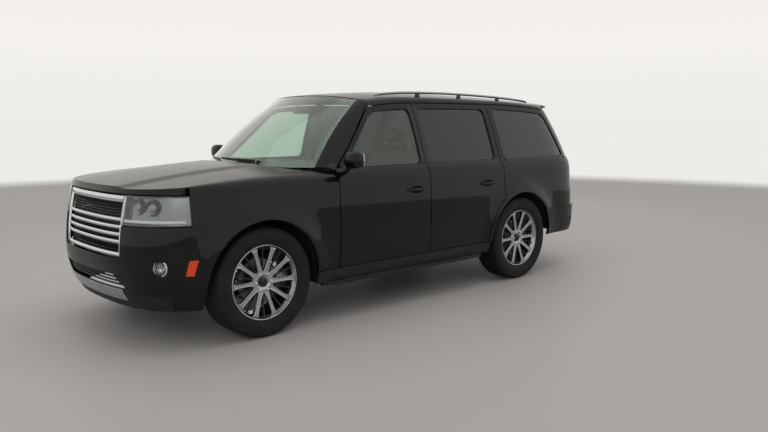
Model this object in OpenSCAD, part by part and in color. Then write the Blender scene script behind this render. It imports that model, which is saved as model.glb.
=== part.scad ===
// Full-size three-row sport utility vehicle, built as separate panels, glass, frame and running gear.
// Frame: +X forward, +Y to the vehicle's left, +Z up, millimetres, standing on z = 0.
// Every outer panel is a patch of one body surface: side() gives the half-width at a station and
// height, hood_z() and roof_z() the height at a point in plan.

/* [Body] */
// Overall length over both bumpers
body_l = 5300; // [4600:10:6400]
// Width over the wheel arch flares, without the mirrors
body_w = 2030; // [1860:10:2440]
// Height of the roof skin at its crown
roof_h = 1880; // [1700:10:2260]
// Height of the belt line, where the side glass begins
belt_z = 1215; // [1150:5:1300]
// Bottom of the doors above the ground
sill_z = 430; // [425:5:500]
// Lowest edge of the bumpers above the ground
low_z = 275; // [240:5:330]
// How far the flares stand out from the side
flare_out = 30; // [10:1:45]
// Lean of the side glass from the belt to the eave
tumble = 205; // [120:5:260]
// Shut line gap round each opening panel
gap = 8; // [6:0.5:10]
// Seam between two fixed panels
seam = 3; // [1:0.5:6]

/* [Panels] */
// Thickness of a whole door below the belt
door_t = 95; // [70:1:110]
// Thickness of window frames and roof pillars
frame_t = 42; // [30:1:50]
// Thickness of fenders, quarters and bumpers
panel_t = 25; // [15:1:35]
// Thickness of the hood with its inner frame
hood_t = 28; // [15:1:40]
// Thickness of the roof with its headlining
roof_t = 30; // [15:1:40]
// Thickness of the tailgate
gate_t = 55; // [35:1:70]
// Thickness of the side and rear glass
glass_t = 5; // [4:0.5:8]

/* [Running gear] */
// Distance between the axles
wheelbase = 3080; // [2900:10:3700]
// Front bumper to front axle
front_overhang = 960; // [880:5:1050]
// Distance between the tyre centres of one axle
track = 1690; // [1600:5:2000]
// Outer diameter of a tyre
tyre_d = 834; // [760:1:860]
// Width of a tyre
tyre_w = 275; // [235:5:300]
// Diameter of the rim where the tyre sits
rim_d = 570; // [480:1:600]
// Radius of the wheel arch opening
arch_r = 475; // [450:1:500]
// Diameter of the wheel stub axle
spindle_d = 60; // [40:1:70]
// Radial running clearance of a hub on its stub axle
hub_fit = 0.05; // [0.02:0.01:0.1]

/* [Cabin] */
// Outer diameter of the steering wheel
steering_d = 380; // [340:5:400]
// Width of one front seat
seat_w = 520; // [460:5:560]
// Top of the floor above the ground
floor_z = 585; // [570:5:620]

/* [Hidden] */
$fn = 48;
touch = 0.3;                               // how far pieces that seat on each other stay apart
tyre_r = tyre_d / 2;
axle_f = body_l / 2 - front_overhang;      // front axle station
axle_r = axle_f - wheelbase;               // rear axle station
side_y = body_w / 2 - flare_out;           // half-width at the middle of the doors
eave_z = roof_h - 115;                     // top of the door openings
ridge_z = belt_z + 47;                     // height at the base of the windshield
shoulder_z = belt_z - 135;                 // where the side begins to roll in
mid_z = shoulder_z - 320;                  // widest part of the side
hood_nose_z = shoulder_z + 75;             // hood height at the nose
lamp_top_z = shoulder_z + 15;              // top of the headlamps
lamp_low_z = lamp_top_z - 205;             // bottom of the headlamps
fascia_z = lamp_low_z - 8;                 // top of the front bumper under the lamps
grille_low_z = fascia_z - 232;             // bottom of the grille
bumper_r_z = low_z + 420;                  // top of the rear bumper
door_f = axle_f - arch_r - 235;            // front edge of the front door
door_r = axle_r + 290;                     // rear edge of the rear door above the arch
door_b = (door_f + door_r) / 2;            // split between the doors
door_lip = 52;                             // width of the arch lip beside the rear door
a_top = door_b + 540;                      // top of the windshield pillar
a_slope = (door_f - a_top) / (eave_z - 40 - belt_z);
nose_0 = body_l / 2 - 1450;                // where the plan begins to round to the nose
tail_0 = 1150 - body_l / 2;                // where the plan begins to round to the tail
roof_rear = -body_l / 2 + 500;             // rear edge of the roof panel
lamp_back = body_l / 2 - 400;              // rear edge of the headlamps on the side
shoulder_in = 145;                         // inward roll from the shoulder to the ridge
shoulder_0 = 10;                           // inward set of the shoulder itself
belt_step = 10;                            // step of the glass behind the belt
belt_rise = 15;                            // height over which the step is made
tuck = 55;                                 // inward tuck at the lowest edge of the side
quarter_rear = -body_l / 2 + 320;          // rear edge of the quarter panel below the belt
corner_top_x = quarter_rear + 280;         // where the side turns the corner under the roof
gate_share = 0.80;                         // tailgate half-width as a share of the body's
cowl_y = 830;                              // half-width of the hood at the cowl
cowl_y_k = cowl_y * side_y / 985;
grille_y = 500 * side_y / 985;             // half-width of the grille
floor_t = 25;                              // thickness of the floor
frame_y = 380;                             // inner face of a frame rail
frame_w = 70;                              // width of a frame rail
frame_z0 = 450;                            // underside of the frame
frame_z1 = floor_z - floor_t;              // top of the frame, under the floor
frame_front = axle_f + 560;
frame_rear = -body_l / 2 + 200;
frame_lift = 50;                           // how much shallower a rail is over the rear axle
beam_t = 70;                               // depth of the bumper beam
beam_z1 = frame_z0 + 95;                   // top of the bumper beam
liner_t = 5;                               // wall of a wheel liner
liner_r = arch_r + 30;                     // inner radius of a wheel liner

function sq(t) = t * t;
function clamp01(t) = min(1, max(0, t));
function lerp(a, b, t) = a + (b - a) * t;
function smooth(t) = let (c = clamp01(t)) c * c * (3 - 2 * c);
function steps(n) = [for (k = [0:n]) k / n];

// ---- The body surface ----

function ellipse_in(t) = 1 - sqrt(max(0, 1 - sq(t)));

belt_in = shoulder_0 + shoulder_in * ellipse_in((belt_z - shoulder_z) / (ridge_z - shoulder_z));

// Inward set of the side from side_y at height z
function side_in(z) =
    z < mid_z ? tuck * sq((mid_z - z) / (mid_z - low_z))
    : z <= shoulder_z ? shoulder_0 * sq((z - mid_z) / (shoulder_z - mid_z))
    : z <= belt_z ? shoulder_0 + shoulder_in * ellipse_in((z - shoulder_z) / (ridge_z - shoulder_z))
    : let (t = (z - belt_z) / (eave_z - belt_z))
      belt_in + belt_step * clamp01((z - belt_z) / belt_rise) + tumble * (0.78 * t + 0.22 * t * t);

// How far the nose and tail surfaces stand behind the bumper line at height z
function nose_in(z) =
    z < 600 ? 110 * sq((600 - z) / (600 - low_z)) : 85 * sq((z - 600) / (hood_nose_z - 600));
function tail_in(z) =
    z < 500 ? 60 * sq((500 - z) / (500 - low_z))
    : z <= bumper_r_z ? 0
    : z <= belt_z ? 55 + 45 * (z - bumper_r_z) / (belt_z - bumper_r_z)
    : let (t = (z - belt_z) / (eave_z - belt_z)) 100 + 215 * t + 55 * t * t;
function nose_a(z) = body_l / 2 - nose_0 - nose_in(z);
function tail_a(z) = tail_0 + body_l / 2 - tail_in(z);

nose_px = 6;
nose_py = 2.6;
tail_px = 7;
tail_py = 3;

function taper(x, z) =
    x > nose_0 ? pow(max(0, 1 - pow(min(1, (x - nose_0) / nose_a(z)), nose_px)), 1 / nose_py)
    : x < tail_0 ? pow(max(0, 1 - pow(min(1, (tail_0 - x) / tail_a(z)), tail_px)), 1 / tail_py)
    : 1;

// The glasshouse narrows a little towards the windshield
function glass_in(x, z) =
    x > door_b ? 40 * sq((x - door_b) / 1200) * clamp01((z - shoulder_z) / (eave_z - shoulder_z)) : 0;

function arch_bump(x, z, ax) =
    let (r = norm([x - ax, z - tyre_r]))
    (r < arch_r ? 1 : exp(-sq((r - arch_r) / 95))) * smooth((z - low_z) / 200);
function flare(x, z) = flare_out * max(arch_bump(x, z, axle_f), arch_bump(x, z, axle_r));

function half_w(z) = side_y - side_in(z);
function side(x, z) = (half_w(z) - glass_in(x, z)) * taper(x, z) + flare(x, z);
function side_pt(x, z) = [x, side(x, z), z];

function nose_x(y, z) =
    nose_0 + nose_a(z) * pow(max(0, 1 - pow(min(1, abs(y) / half_w(z)), nose_py)), 1 / nose_px);
function tail_x(y, z) =
    tail_0 - tail_a(z) * pow(max(0, 1 - pow(min(1, abs(y) / half_w(z)), tail_py)), 1 / tail_px);

// Points round the nose and the tail by angle: 0 at the centre line, 90 at the side
function nose_pt(f, z) =
    let (x = nose_0 + nose_a(z) * pow(cos(f), 2 / nose_px), y = half_w(z) * pow(sin(f), 2 / nose_py))
    [x, y + flare(x, z) * smooth((f - 20) / 40), z];
function nose_angle_x(x, z) = acos(pow(clamp01((x - nose_0) / nose_a(z)), nose_px / 2));
function nose_angle_y(y, z) = asin(pow(clamp01(y / half_w(z)), nose_py / 2));
function tail_pt(f, z) =
    let (x = tail_0 - tail_a(z) * pow(cos(f), 2 / tail_px), y = half_w(z) * pow(sin(f), 2 / tail_py))
    [x, y + flare(x, z) * smooth((f - 20) / 40), z];
function tail_angle_x(x, z) = acos(pow(clamp01((tail_0 - x) / tail_a(z)), tail_px / 2));
function tail_angle_y(y, z) = asin(pow(clamp01(y / half_w(z)), tail_py / 2));
// Inward direction at an angle round the nose (s = 1) or the tail (s = -1)
function corner_in(f, s) = let (k = smooth((f - 8) / 40)) [-s * (1 - k), -k, 0] / norm([1 - k, k]);

// Direction that turns from along the vehicle (s = -1 rearward) to inboard as t goes from 0 to 1
function turned(t, s) = let (k = smooth(t)) [s * (1 - k), -k, 0] / norm([1 - k, k]);

// Hood and roof heights
function hood_s(x) = clamp01((x - (door_f + 320)) / (body_l / 2 - 170 - (door_f + 320)) / 1.1) * 1.1;
function hood_z(x, y) =
    ridge_z - (ridge_z - hood_nose_z + 6) * (0.35 * hood_s(x) + 0.65 * sq(hood_s(x)))
    - 45 * (1 - 0.68 * hood_s(x)) * pow(abs(y) / (cowl_y_k - 30), 2.4)
    + 14 * (1 - smooth((abs(y) - 0.45 * cowl_y_k) / 110));
function roof_z(x, y) =
    roof_h - (x > door_b - 130 ? 45 * sq((x - door_b + 130) / 800) : 60 * sq((x - door_b + 130) / 2050))
    - 55 * pow(abs(y) / (half_w(eave_z) - 77), 2.6);
function door_top(x) =
    eave_z - 40 * sq(max(0, (x - door_b + 100) / (a_top - door_b + 100)))
    - 60 * sq(max(0, (door_b - 1040 - max(x, corner_top_x)) / 1100));

// Edges of the windshield, the hood and the roof in plan
wind_top_y = half_w(eave_z) - 92;
wind_base_y = cowl_y_k - 15;
function wind_base_x(y) = door_f + 420 - 300 * pow(abs(y) / cowl_y_k, 2.2);
function wind_top_x(y) = a_top + 150 - 130 * pow(abs(y) / (half_w(eave_z) - 77), 2.2);
function cowl_x(y) = wind_base_x(y) + 62;
function roof_y(x) = side(x, eave_z) - 72;
hood_tip_y = 872 * side_y / 985;
hood_tip_x = nose_x(hood_tip_y, hood_nose_z);
function hood_edge(x) = lerp(cowl_y_k, hood_tip_y, (x - cowl_x(cowl_y_k)) / (hood_tip_x
    - cowl_x(cowl_y_k)));

// Side edges of the doors
function door_front_x(z) = door_f - max(0, z - belt_z) * a_slope;
function door_rear_x(z) =
    let (r = arch_r + door_lip, h = z - tyre_r)
    max(door_r, axle_r + sqrt(max(0, sq(r) - sq(max(0, h)))));

// ---- Skins: closed solids between an outer grid and an inner grid of points ----
// i runs first and j second, and turning from i to j by the right-hand rule points outwards.
// A cell whose mask is false is left open, with walls round it.

function flat(l) = [for (r = l) each r];
function all_on(n, m) = [for (i = [0:n - 1]) [for (j = [0:m - 1]) true]];

module skin(p, q, mask = undef) {
    n = len(p) - 1;
    m = len(p[0]) - 1;
    on = is_undef(mask) ? all_on(n, m) : mask;
    k = (n + 1) * (m + 1);
    function id(i, j) = i * (m + 1) + j;
    function open(i, j) = i < 0 || j < 0 || i >= n || j >= m || !on[i][j];
    faces = [for (i = [0:n - 1]) for (j = [0:m - 1]) if (on[i][j])
        let (a = id(i, j), b = id(i, j + 1), c = id(i + 1, j + 1), d = id(i + 1, j))
        each concat(
            [[a, b, c], [a, c, d], [k + a, k + c, k + b], [k + a, k + d, k + c]],
            open(i - 1, j) ? [[a, k + a, k + b], [a, k + b, b]] : [],
            open(i, j + 1) ? [[b, k + b, k + c], [b, k + c, c]] : [],
            open(i + 1, j) ? [[c, k + c, k + d], [c, k + d, d]] : [],
            open(i, j - 1) ? [[d, k + d, k + a], [d, k + a, a]] : [])];
    polyhedron(points = concat(flat(p), flat(q)), faces = faces, convexity = 10);
}

// A skin of the outer grid p whose inner grid lies t away along dir
module plate(p, t, dir, mask = undef) {
    skin(p, [for (r = p) [for (v = r) v + t * dir]], mask);
}

module both_sides() {
    children();
    mirror([0, 1, 0]) children();
}

module on_side(s) {
    if (s > 0) children();
    else mirror([0, 1, 0]) children();
}

// ---- Doors ----

belt_row = belt_z + belt_rise;             // bottom of the window opening
win_top = 45;                              // window frame below the eave
win_front = 60;                            // window frame behind the front edge
win_rear = 48;                             // window frame ahead of the rear edge
rear_bevel = 16;                           // inner setback of a rear edge, so it swings clear
door_low = [for (t = steps(5)) lerp(sill_z + gap, shoulder_z, t)];
door_mid = [for (t = [0.35, 0.7, 1]) lerp(shoulder_z, belt_z, t)];
door_up = steps(5);

// Height of row j at station x, and the nominal height used for the side edges
function row_z(j, x) =
    j < 6 ? door_low[j]
    : j < 9 ? door_mid[j - 6]
    : j < 15 ? lerp(belt_row, door_top(x) - win_top, door_up[j - 9])
    : door_top(x);
function row_nominal(j) =
    j < 6 ? door_low[j] : j < 9 ? door_mid[j - 6]
    : j < 15 ? lerp(belt_row, eave_z - 40 - win_top, door_up[j - 9]) : eave_z - 40;
function wall_at(z) = lerp(door_t, frame_t, smooth((z - belt_z + 45) / 60));

front_cols = [0, 0.2, 0.4, 0.6, 0.8, 1];

function front_x(j) = door_front_x(row_nominal(j));
function rear_split_x() = door_b + gap / 2;
function side_grid(cols, x0, x1, xw0, xw1) =
    [for (i = [0:len(cols) + 1]) [for (j = [0:15])
        let (x = i == 0 ? x0[j] : i == len(cols) + 1 ? x1[j] : lerp(xw0[j], xw1[j], cols[i - 1]))
        side_pt(x, row_z(j, x))]];
function inner_grid(p, bevel) =
    [for (i = [0:len(p) - 1]) [for (j = [0:len(p[i]) - 1])
        let (v = p[i][j]) [v[0] + (i == len(p) - 1 ? bevel : 0), v[1] - wall_at(v[2]), v[2]]]];
function window_mask(p) =
    [for (i = [0:len(p) - 2]) [for (j = [0:14]) !(i > 0 && i < len(p) - 2 && j >= 9 && j < 14)]];

front_p = let (x0 = [for (j = [0:15]) front_x(j)], x1 = [for (j = [0:15]) rear_split_x()])
    side_grid(front_cols, x0, x1, [for (v = x0) v - win_front], [for (v = x1) v + win_rear]);
rear_p = let (x0 = [for (j = [0:15]) door_b - gap / 2],
    x1 = [for (j = [0:15]) door_rear_x(row_nominal(j))])
    side_grid(front_cols, x0, x1, [for (v = x0) v - win_rear], [for (v = x1) v + win_front]);

module door(p, pin_x) {
    color("#0c0d0f") {
        difference() {
            skin(p, inner_grid(p, rear_bevel), window_mask(p));
            for (z = hinge_z) door_pocket(pin_x, z);
        }
        for (z = hinge_z) door_pin(pin_x, z);
    }
}

// The pane fills the opening of a window mask, set in from the face
pane_in = 14;
function pane_grid(p, c0, c1, r0, r1) =
    [for (i = [c0:c1]) [for (j = [r0:r1])
        let (v = p[i][j],
             dx = (i == c0 ? -1 : i == c1 ? 1 : 0) * 4 * touch,
             dz = (j == r0 ? 1 : j == r1 ? -1 : 0) * 2 * touch)
        [v[0] + dx, v[1] - pane_in, v[2] + dz]]];

module pane(p) {
    color("#1d2422") plate(pane_grid(p, 1, len(p) - 2, 9, 14), glass_t, [0, -1, 0]);
}

mirror_x = door_f - 95;
module mirror_shell() {
    y0 = side(mirror_x, belt_z + 40);
    color("#0c0d0f") {
        hull() {
            translate([mirror_x - 60, y0 + 75, belt_z + 10]) cube([95, 20, 20]);
            translate([mirror_x - 45, y0 + 60, belt_z + 25]) cube([110, 170, 130]);
            translate([mirror_x - 55, y0 + 80, belt_z + 15]) cube([80, 160, 150]);
        }
        foot_z = door_mid[1];
        foot_y = side(mirror_x, foot_z) + touch;
        translate([mirror_x - 20, foot_y, foot_z]) cube([50, y0 + 90 - foot_y, belt_z + 12 - foot_z]);
    }
}

// ---- Front end ----

arch_start = asin(min(1, (sill_z + gap - tyre_r) / arch_r));
seam_low = [axle_f + arch_r * cos(45), tyre_r + arch_r * sin(45)];
seam_high = [lamp_back - seam, fascia_z + seam];

function fender_base(k) =
    k < 3 ? [lerp(door_f + gap, axle_f - arch_r * cos(arch_start), k / 3), sill_z + gap]
    : k < 15 ? let (a = lerp(180 - arch_start, 45, (k - 3) / 11)) [axle_f + arch_r * cos(a),
        tyre_r + arch_r * sin(a)]
    : lerp(seam_low, seam_high, (k - 14) / 3);
function fender_crest(k) =
    k < 3 ? lerp(door_f + gap, door_f + gap + 130, k / 3)
    : k < 15 ? lerp(door_f + gap + 130, lamp_back - 150, (k - 3) / 11)
    : lerp(lamp_back - 150, lamp_back - seam, (k - 14) / 3);

fender_p = [for (k = [17:-1:0])
    let (b = fender_base(k), x = fender_crest(k), yt = hood_edge(x) + gap, zt = hood_z(x, yt),
        ys = side(x, shoulder_z))
    concat(
        [for (v = steps(5)) side_pt(lerp(b[0], x, v), lerp(b[1], shoulder_z, v))],
        [for (a = [22.5, 45, 67.5, 90]) [x, lerp(yt, ys, cos(a)), lerp(shoulder_z, zt, sin(a))]])];
fender_q = [for (r = fender_p) [for (j = [0:len(r) - 1])
    let (a = 90 * clamp01((j - 5) / 4)) r[j] + panel_t * [0, -cos(a), -sin(a)]]];

module front_fender() {
    color("#0c0d0f") {
        skin(fender_p, fender_q);
        // Bracket to the hinge post
        translate([post_f_x + 15, post_y + touch, 700]) cube([60, side_y - panel_t - post_y, 60]);
    }
}

hood_rows = 12;
hood_cols = 16;
// Sample positions across the hood, closer together at the edges
function across(n) = [for (k = [-n:n]) sin(90 * k / n) * 0.5 + 0.5 * k / n];
function hood_pt(s, u) =
    let (y0 = u * cowl_y_k, x0 = cowl_x(y0), y1 = u * hood_tip_y, xe = nose_x(y1, hood_nose_z - 6),
         x1 = nose_x(y1, hood_z(xe, y1)), x = lerp(x0, x1, s), y = lerp(y0, y1, s))
    [x, y, hood_z(x, y)];
function hood_lip(v, u) =
    let (e = hood_pt(1, u), z = lerp(e[2], lamp_top_z + gap, v)) [nose_x(e[1], z), e[1], z];
hood_p = [for (i = [0:hood_rows + 2])
    [for (u = across(hood_cols / 2)) let (w = -u)
        i == 0 ? hood_lip(1, w) : i == 1 ? hood_lip(0.5, w) : hood_pt(1 - (i - 2) / hood_rows, w)]];
hood_q = [for (i = [0:hood_rows + 2]) [for (v = hood_p[i])
    v + (i == 0 ? [-hood_t, 0, 0] : i == 1 ? [-hood_t, 0, -hood_t / 3] : i == 2 ? [-hood_t, 0, -hood_t]
        : [0, 0, -hood_t])]];

module hood() {
    color("#0c0d0f") {
        skin(hood_p, hood_q);
        both_sides() hood_lug();
    }
}

// Stations round the nose: straight shares across the grille, then by angle to the arch
bumper_in = 5;
bumper_out = 11;
function bumper_end_x(z) =
    z <= tyre_r ? axle_f + arch_r
    : z < seam_low[1] ? axle_f + sqrt(sq(arch_r) - sq(z - tyre_r))
    : lerp(seam_low[0], seam_high[0], (z - seam_low[1]) / (seam_high[1] - seam_low[1])) + seam;
bumper_z = [low_z, low_z + 70, 430, 530, grille_low_z, 700, 790, fascia_z];
function bumper_col(k, z) =
    let (f0 = nose_angle_y(grille_y + 12, z), f1 = nose_angle_x(bumper_end_x(z), z))
    k <= bumper_in ? nose_angle_y((grille_y + 12) * k / bumper_in, z)
        : lerp(f0, f1, (k - bumper_in) / bumper_out);
function mirrored(p, s) = s < 0 ? [p[0], -p[1], p[2]] : p;
front_bumper_p = [for (k = [-bumper_in - bumper_out:bumper_in + bumper_out])
    [for (z = bumper_z) mirrored(nose_pt(bumper_col(abs(k), z), z), k)]];
front_bumper_q = [for (k = [-bumper_in - bumper_out:bumper_in + bumper_out])
    [for (z = bumper_z) let (f = bumper_col(abs(k), z))
        mirrored(nose_pt(f, z) + panel_t * corner_in(f, 1), k)]];
front_bumper_mask = [for (i = [0:2 * (bumper_in + bumper_out) - 1])
    [for (j = [0:len(bumper_z) - 2])
        let (c = abs(i + 0.5 - bumper_in
            - bumper_out)) !(c < bumper_in && j >= 4) && !(c < bumper_in && j == 2)]];

module fog_axis() {
    translate([nose_x(fog_y, fog_z), fog_y, fog_z]) rotate([0, 0, fog_turn])
        rotate([0, 90, 0]) children();
}
module front_bumper() {
    color("#0c0d0f") {
        difference() {
            skin(front_bumper_p, front_bumper_q, front_bumper_mask);
            both_sides() fog_axis() translate([0, 0, -90]) cylinder(d = fog_d + 2 * touch, h = 150);
        }
        // Brackets to the beam
        both_sides() translate([frame_front + beam_t + touch, frame_y, beam_z1 - 16])
            cube([nose_x(frame_y, 550) - 10 - frame_front - beam_t, frame_w, 36]);
    }
}

grille_z = [for (t = steps(9)) lerp(grille_low_z + seam, lamp_top_z, t)];
grille_n = 6;
module grille() {
    set_in = 22;
    bar_t = 26;
    p = [for (k = [-grille_n:grille_n]) [for (z = grille_z)
        let (y = (grille_y - 12) * k / grille_n) [nose_x(y, z) - set_in, y, z]]];
    mask = [for (i = [0:2 * grille_n - 1]) [for (j = [0:8]) i == 0 || i == 2 * grille_n
        - 1 || j % 2 == 0]];
    color("#8d9094") {
        plate(p, bar_t, [-1, 0, 0], mask);
        // Legs back to the radiator
        for (y = [-grille_y + 40, grille_y - 80], z = [grille_low_z + 30, lamp_top_z - 60])
            translate([radiator_x + radiator_t + touch, y, z])
                cube([nose_x(grille_y, z) - set_in - 5 - radiator_x - radiator_t, 40, 20]);
    }
}

module headlamp() {
    z_rows = [for (t = steps(4)) lerp(lamp_low_z, lamp_top_z, t)];
    cols = 9;
    depth = 110;
    function f(k, z) = lerp(nose_angle_y(grille_y + 6, z), nose_angle_x(lamp_back, z), k / cols);
    function into(k) = lerp(depth, panel_t, k / cols) * turned(k / cols, -1);
    p = [for (k = [0:cols]) [for (z = z_rows) nose_pt(f(k, z), z)]];
    q = [for (k = [0:cols]) [for (z = z_rows) nose_pt(f(k, z), z) + into(k)]];
    color("#c9cdd0") {
        skin(p, q);
        // Leg back to the radiator
        x0 = radiator_x + radiator_t + touch;
        translate([x0, grille_y + 30, lamp_low_z + 70]) cube([nose_x(grille_y + 50, lamp_low_z) - 60
            - x0, 26, 50]);
    }
}

radiator_x = frame_front + 5;
radiator_y = grille_y + 60;
radiator_t = 60;
module radiator() {
    color("#0f0f10") translate([radiator_x, -radiator_y, beam_z1 + touch])
        cube([radiator_t, 2 * radiator_y, lamp_top_z - 20 - beam_z1]);
}

fog_y = 800 * side_y / 985;
fog_z = 600;
fog_d = 100;
fog_turn = 28;                             // how far a fog lamp faces outboard
module fog_lamp() {
    color("#c9cdd0") fog_axis() translate([0, 0, -75]) cylinder(d = fog_d, h = 60);
}

module front_lamp() {
    headlamp();
    fog_lamp();
}

// ---- Glasshouse ----

wind_t = 6;
wind_n = [0.5, 0, 0.86];
function wind_pt(s, u) =
    let (y = u * lerp(wind_base_y, wind_top_y, s), x0 = wind_base_x(y), x1 = wind_top_x(y),
         z0 = ridge_z - 20, z1 = roof_z(x1, u * wind_top_y) - 6)
    [lerp(x0, x1, s), y, lerp(z0, z1, s)] + 22 * sin(180 * s) * wind_n;
wind_p = [for (i = [0:8]) [for (k = [6:-1:-6]) wind_pt(i / 8, k / 6)]];
module windshield() {
    color("#9db8ad") plate(wind_p, wind_t, -wind_n);
}

module cowl() {
    p = [for (v = steps(2)) [for (k = [7:-1:-7])
        let (y = (lug_y - 20) * k / 7, x = lerp(wind_base_x(y) + 2, cowl_x(y) - gap, v))
        [x, y, hood_z(cowl_x(y), y) - 24]]];
    color("#0a0a0b") plate(p, 22, [0, 0, -1]);
}

roof_side_y = wind_top_y + 4;
roof_front_x = wind_top_x(roof_side_y) - 4;
roof_n = 12;
function roof_row_x(i) = lerp(roof_front_x, roof_rear, i / roof_n);
roof_p = [for (i = [0:roof_n])
    [for (u = across(7))
        let (x = lerp(wind_top_x(u * roof_side_y) - 4, roof_rear, i / roof_n),
             y = -u * min(roof_side_y + 400 * i / roof_n, roof_y(roof_row_x(i))))
        [x, y, roof_z(x, y)]]];
module roof() {
    color("#0c0d0f") {
        plate(roof_p, roof_t, [0, 0, -1]);
        both_sides() gate_hook();
    }
}

// The side rail: windshield pillar, then the rail over the doors to the rear edge of the roof
glass_seat = 0.8;                          // bedded joint between a fixed pane or lamp and its panel
pillar_n = 8;
rail_n = 12;
function rail_low(k) =
    k < pillar_n ? let (z = lerp(belt_z + 4, eave_z - 40, k / pillar_n)) side_pt(door_front_x(z)
        + gap * 1.4, z)
    : let (x = lerp(a_top, roof_rear, (k - pillar_n) / rail_n)) side_pt(x, door_top(x) + gap);
function rail_high(k) =
    k < pillar_n ? wind_pt(k / pillar_n, 1) + [0, glass_seat, 0]
    : let (x = lerp(roof_front_x, roof_rear, (k - pillar_n) / rail_n), y = roof_y(x) + seam)
      [x, y, roof_z(x, y)];
function rail_pt(k, w) = lerp(rail_low(k), rail_high(k), w) + 14 * 4 * w * (1 - w) * [0, 0.7, 0.7];
rail_p = [for (k = [0:pillar_n + rail_n]) [for (w = steps(3)) rail_pt(k, w)]];
rail_q = [for (k = [0:pillar_n + rail_n]) [for (w = steps(3))
    let (inner = k < pillar_n ? [-20, 0, -32] : [0, 0, -frame_t]) rail_pt(k, w)
        + lerp([0, -frame_t, 0], inner, w)]];

post_y = side_y - door_t - 57;             // outer face of the posts and the sill
post_t = 60;
post_f_x = door_f + gap + 8;               // rear face of the hinge post
sill_beam_z = sill_z - 90;                 // underside of the sill beam
post_top_z = belt_z - 60;
module frame_half() {
    difference() {
        union() {
            skin(rail_p, rail_q);
            // Centre post, upright to the belt and leaning in to the rail
            top_y = side(door_b, eave_z) - frame_t - 14;
            hull() {
                translate([door_b - 50, post_y - post_t, post_top_z]) cube([100, post_t, 1]);
                translate([door_b - 40, top_y - 46, eave_z + 16]) cube([80, 40, 1]);
            }
            translate([door_b - 100, post_y - post_t, sill_beam_z])
                cube([150, post_t, post_top_z + 1 - sill_beam_z]);
            // Hinge post ahead of the front door, and its gusset up to the windshield pillar
            translate([door_f - 100, post_y - post_t, sill_beam_z])
                cube([195, post_t, post_top_z - sill_beam_z]);
            hull() {
                translate([post_f_x + 20, post_y - 55, post_top_z - 1]) cube([70, 35, 1]);
                translate([post_f_x + 45, post_y - 45, ridge_z - 45]) cube([40, 25, 12]);
            }
            // Sill beam between the wheel arches
            translate([axle_r + arch_r + 40, post_y - post_t, sill_beam_z])
                cube([axle_f - axle_r - 2 * arch_r - 80, post_t, 85]);
            for (x = [front_pin_x, rear_pin_x], z = hinge_z) door_strap(x, z);
            hood_bracket();
        }
        for (x = [front_pin_x, rear_pin_x], z = hinge_z)
            translate([x, pin_y, z - 1]) cylinder(r = pin_r + pin_fit, h = strap_t + 2);
    }
}

// ---- Door hinges: a strap on the post, round a pin that crosses a pocket in the door ----

pin_set = 72;                              // pin behind the door's front edge
pin_in = 20;                               // pin inboard of the widest part of the side
pin_r = 5;
pin_fit = 0.05;
pin_y = side_y - pin_in;
front_pin_x = door_f - pin_set;
rear_pin_x = door_b - gap / 2 - pin_set;
hinge_z = [mid_z - 140, mid_z + 190];      // undersides of the straps
strap_t = 10;
strap_r = 9;
pocket_gap = 10;                           // above and below a strap
module door_strap(x, z) {
    translate([x, pin_y, z]) cylinder(r = strap_r, h = strap_t);
    translate([x - strap_r, post_y - 10, z]) cube([2 * strap_r, pin_y - post_y + 10, strap_t]);
}
module door_pocket(x, z) {
    translate([x - strap_r - 8, pin_y - door_t, z - pocket_gap])
        cube([pin_set + strap_r + 9, door_t + strap_r + 3, strap_t + 2 * pocket_gap]);
}
module door_pin(x, z) {
    translate([x, pin_y, z - pocket_gap - 2]) cylinder(r = pin_r, h = strap_t + 2 * pocket_gap + 4);
}

// ---- Hood hinges: a lug under each rear corner, on a pin in a bracket of the hinge post ----

hood_pin_x = cowl_x(cowl_y_k) - 18;
hood_pin_z = hood_z(cowl_x(cowl_y_k), cowl_y_k) - hood_t;
hood_pin_r = 6;
lug_y = post_y - 65;                       // inboard face of a lug
lug_t = 12;
bracket_y = lug_y + lug_t + 5;
module hood_bracket() {
    translate([post_f_x + 70, bracket_y, post_top_z - 20])
        cube([hood_pin_x - post_f_x - 60, lug_t, hood_pin_z - post_top_z + 30]);
    translate([hood_pin_x, bracket_y + lug_t, hood_pin_z]) rotate([90, 0, 0])
        cylinder(r = 12, h = lug_t);
    translate([hood_pin_x, bracket_y + lug_t, hood_pin_z]) rotate([90, 0, 0])
        cylinder(r = hood_pin_r, h = 2 * lug_t + 10);
}
module hood_lug() {
    translate([hood_pin_x, lug_y + lug_t, hood_pin_z]) rotate([90, 0, 0]) difference() {
        union() {
            cylinder(r = 13, h = lug_t);
            linear_extrude(lug_t) polygon([[0, -13], [75, -13], [105, 12], [0, 12]]);
        }
        translate([0, 0, -1]) cylinder(r = hood_pin_r + pin_fit, h = lug_t + 2);
    }
}
bow_row = 3;                               // row of the roof over the bow, near its crown
module roof_bow() {
    // Between the rails, seated under the roof
    t = [0.35, 0.5];
    function end(w) = lerp(roof_y(roof_row_x(bow_row)), roof_y(roof_row_x(bow_row + 1)), w) + seam
        - touch;
    p = [for (w = t) let (x = lerp(roof_row_x(bow_row), roof_row_x(bow_row + 1), w)) [for (k = [-8:8])
        let (y = -end(w) * k / 8) [x, y, roof_z(x, y) - roof_t - glass_seat]]];
    plate(p, 8, [0, 0, -1]);
}
module cabin_frame() {
    color("#101113") {
        both_sides() frame_half();
        roof_bow();
    }
}

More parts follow.
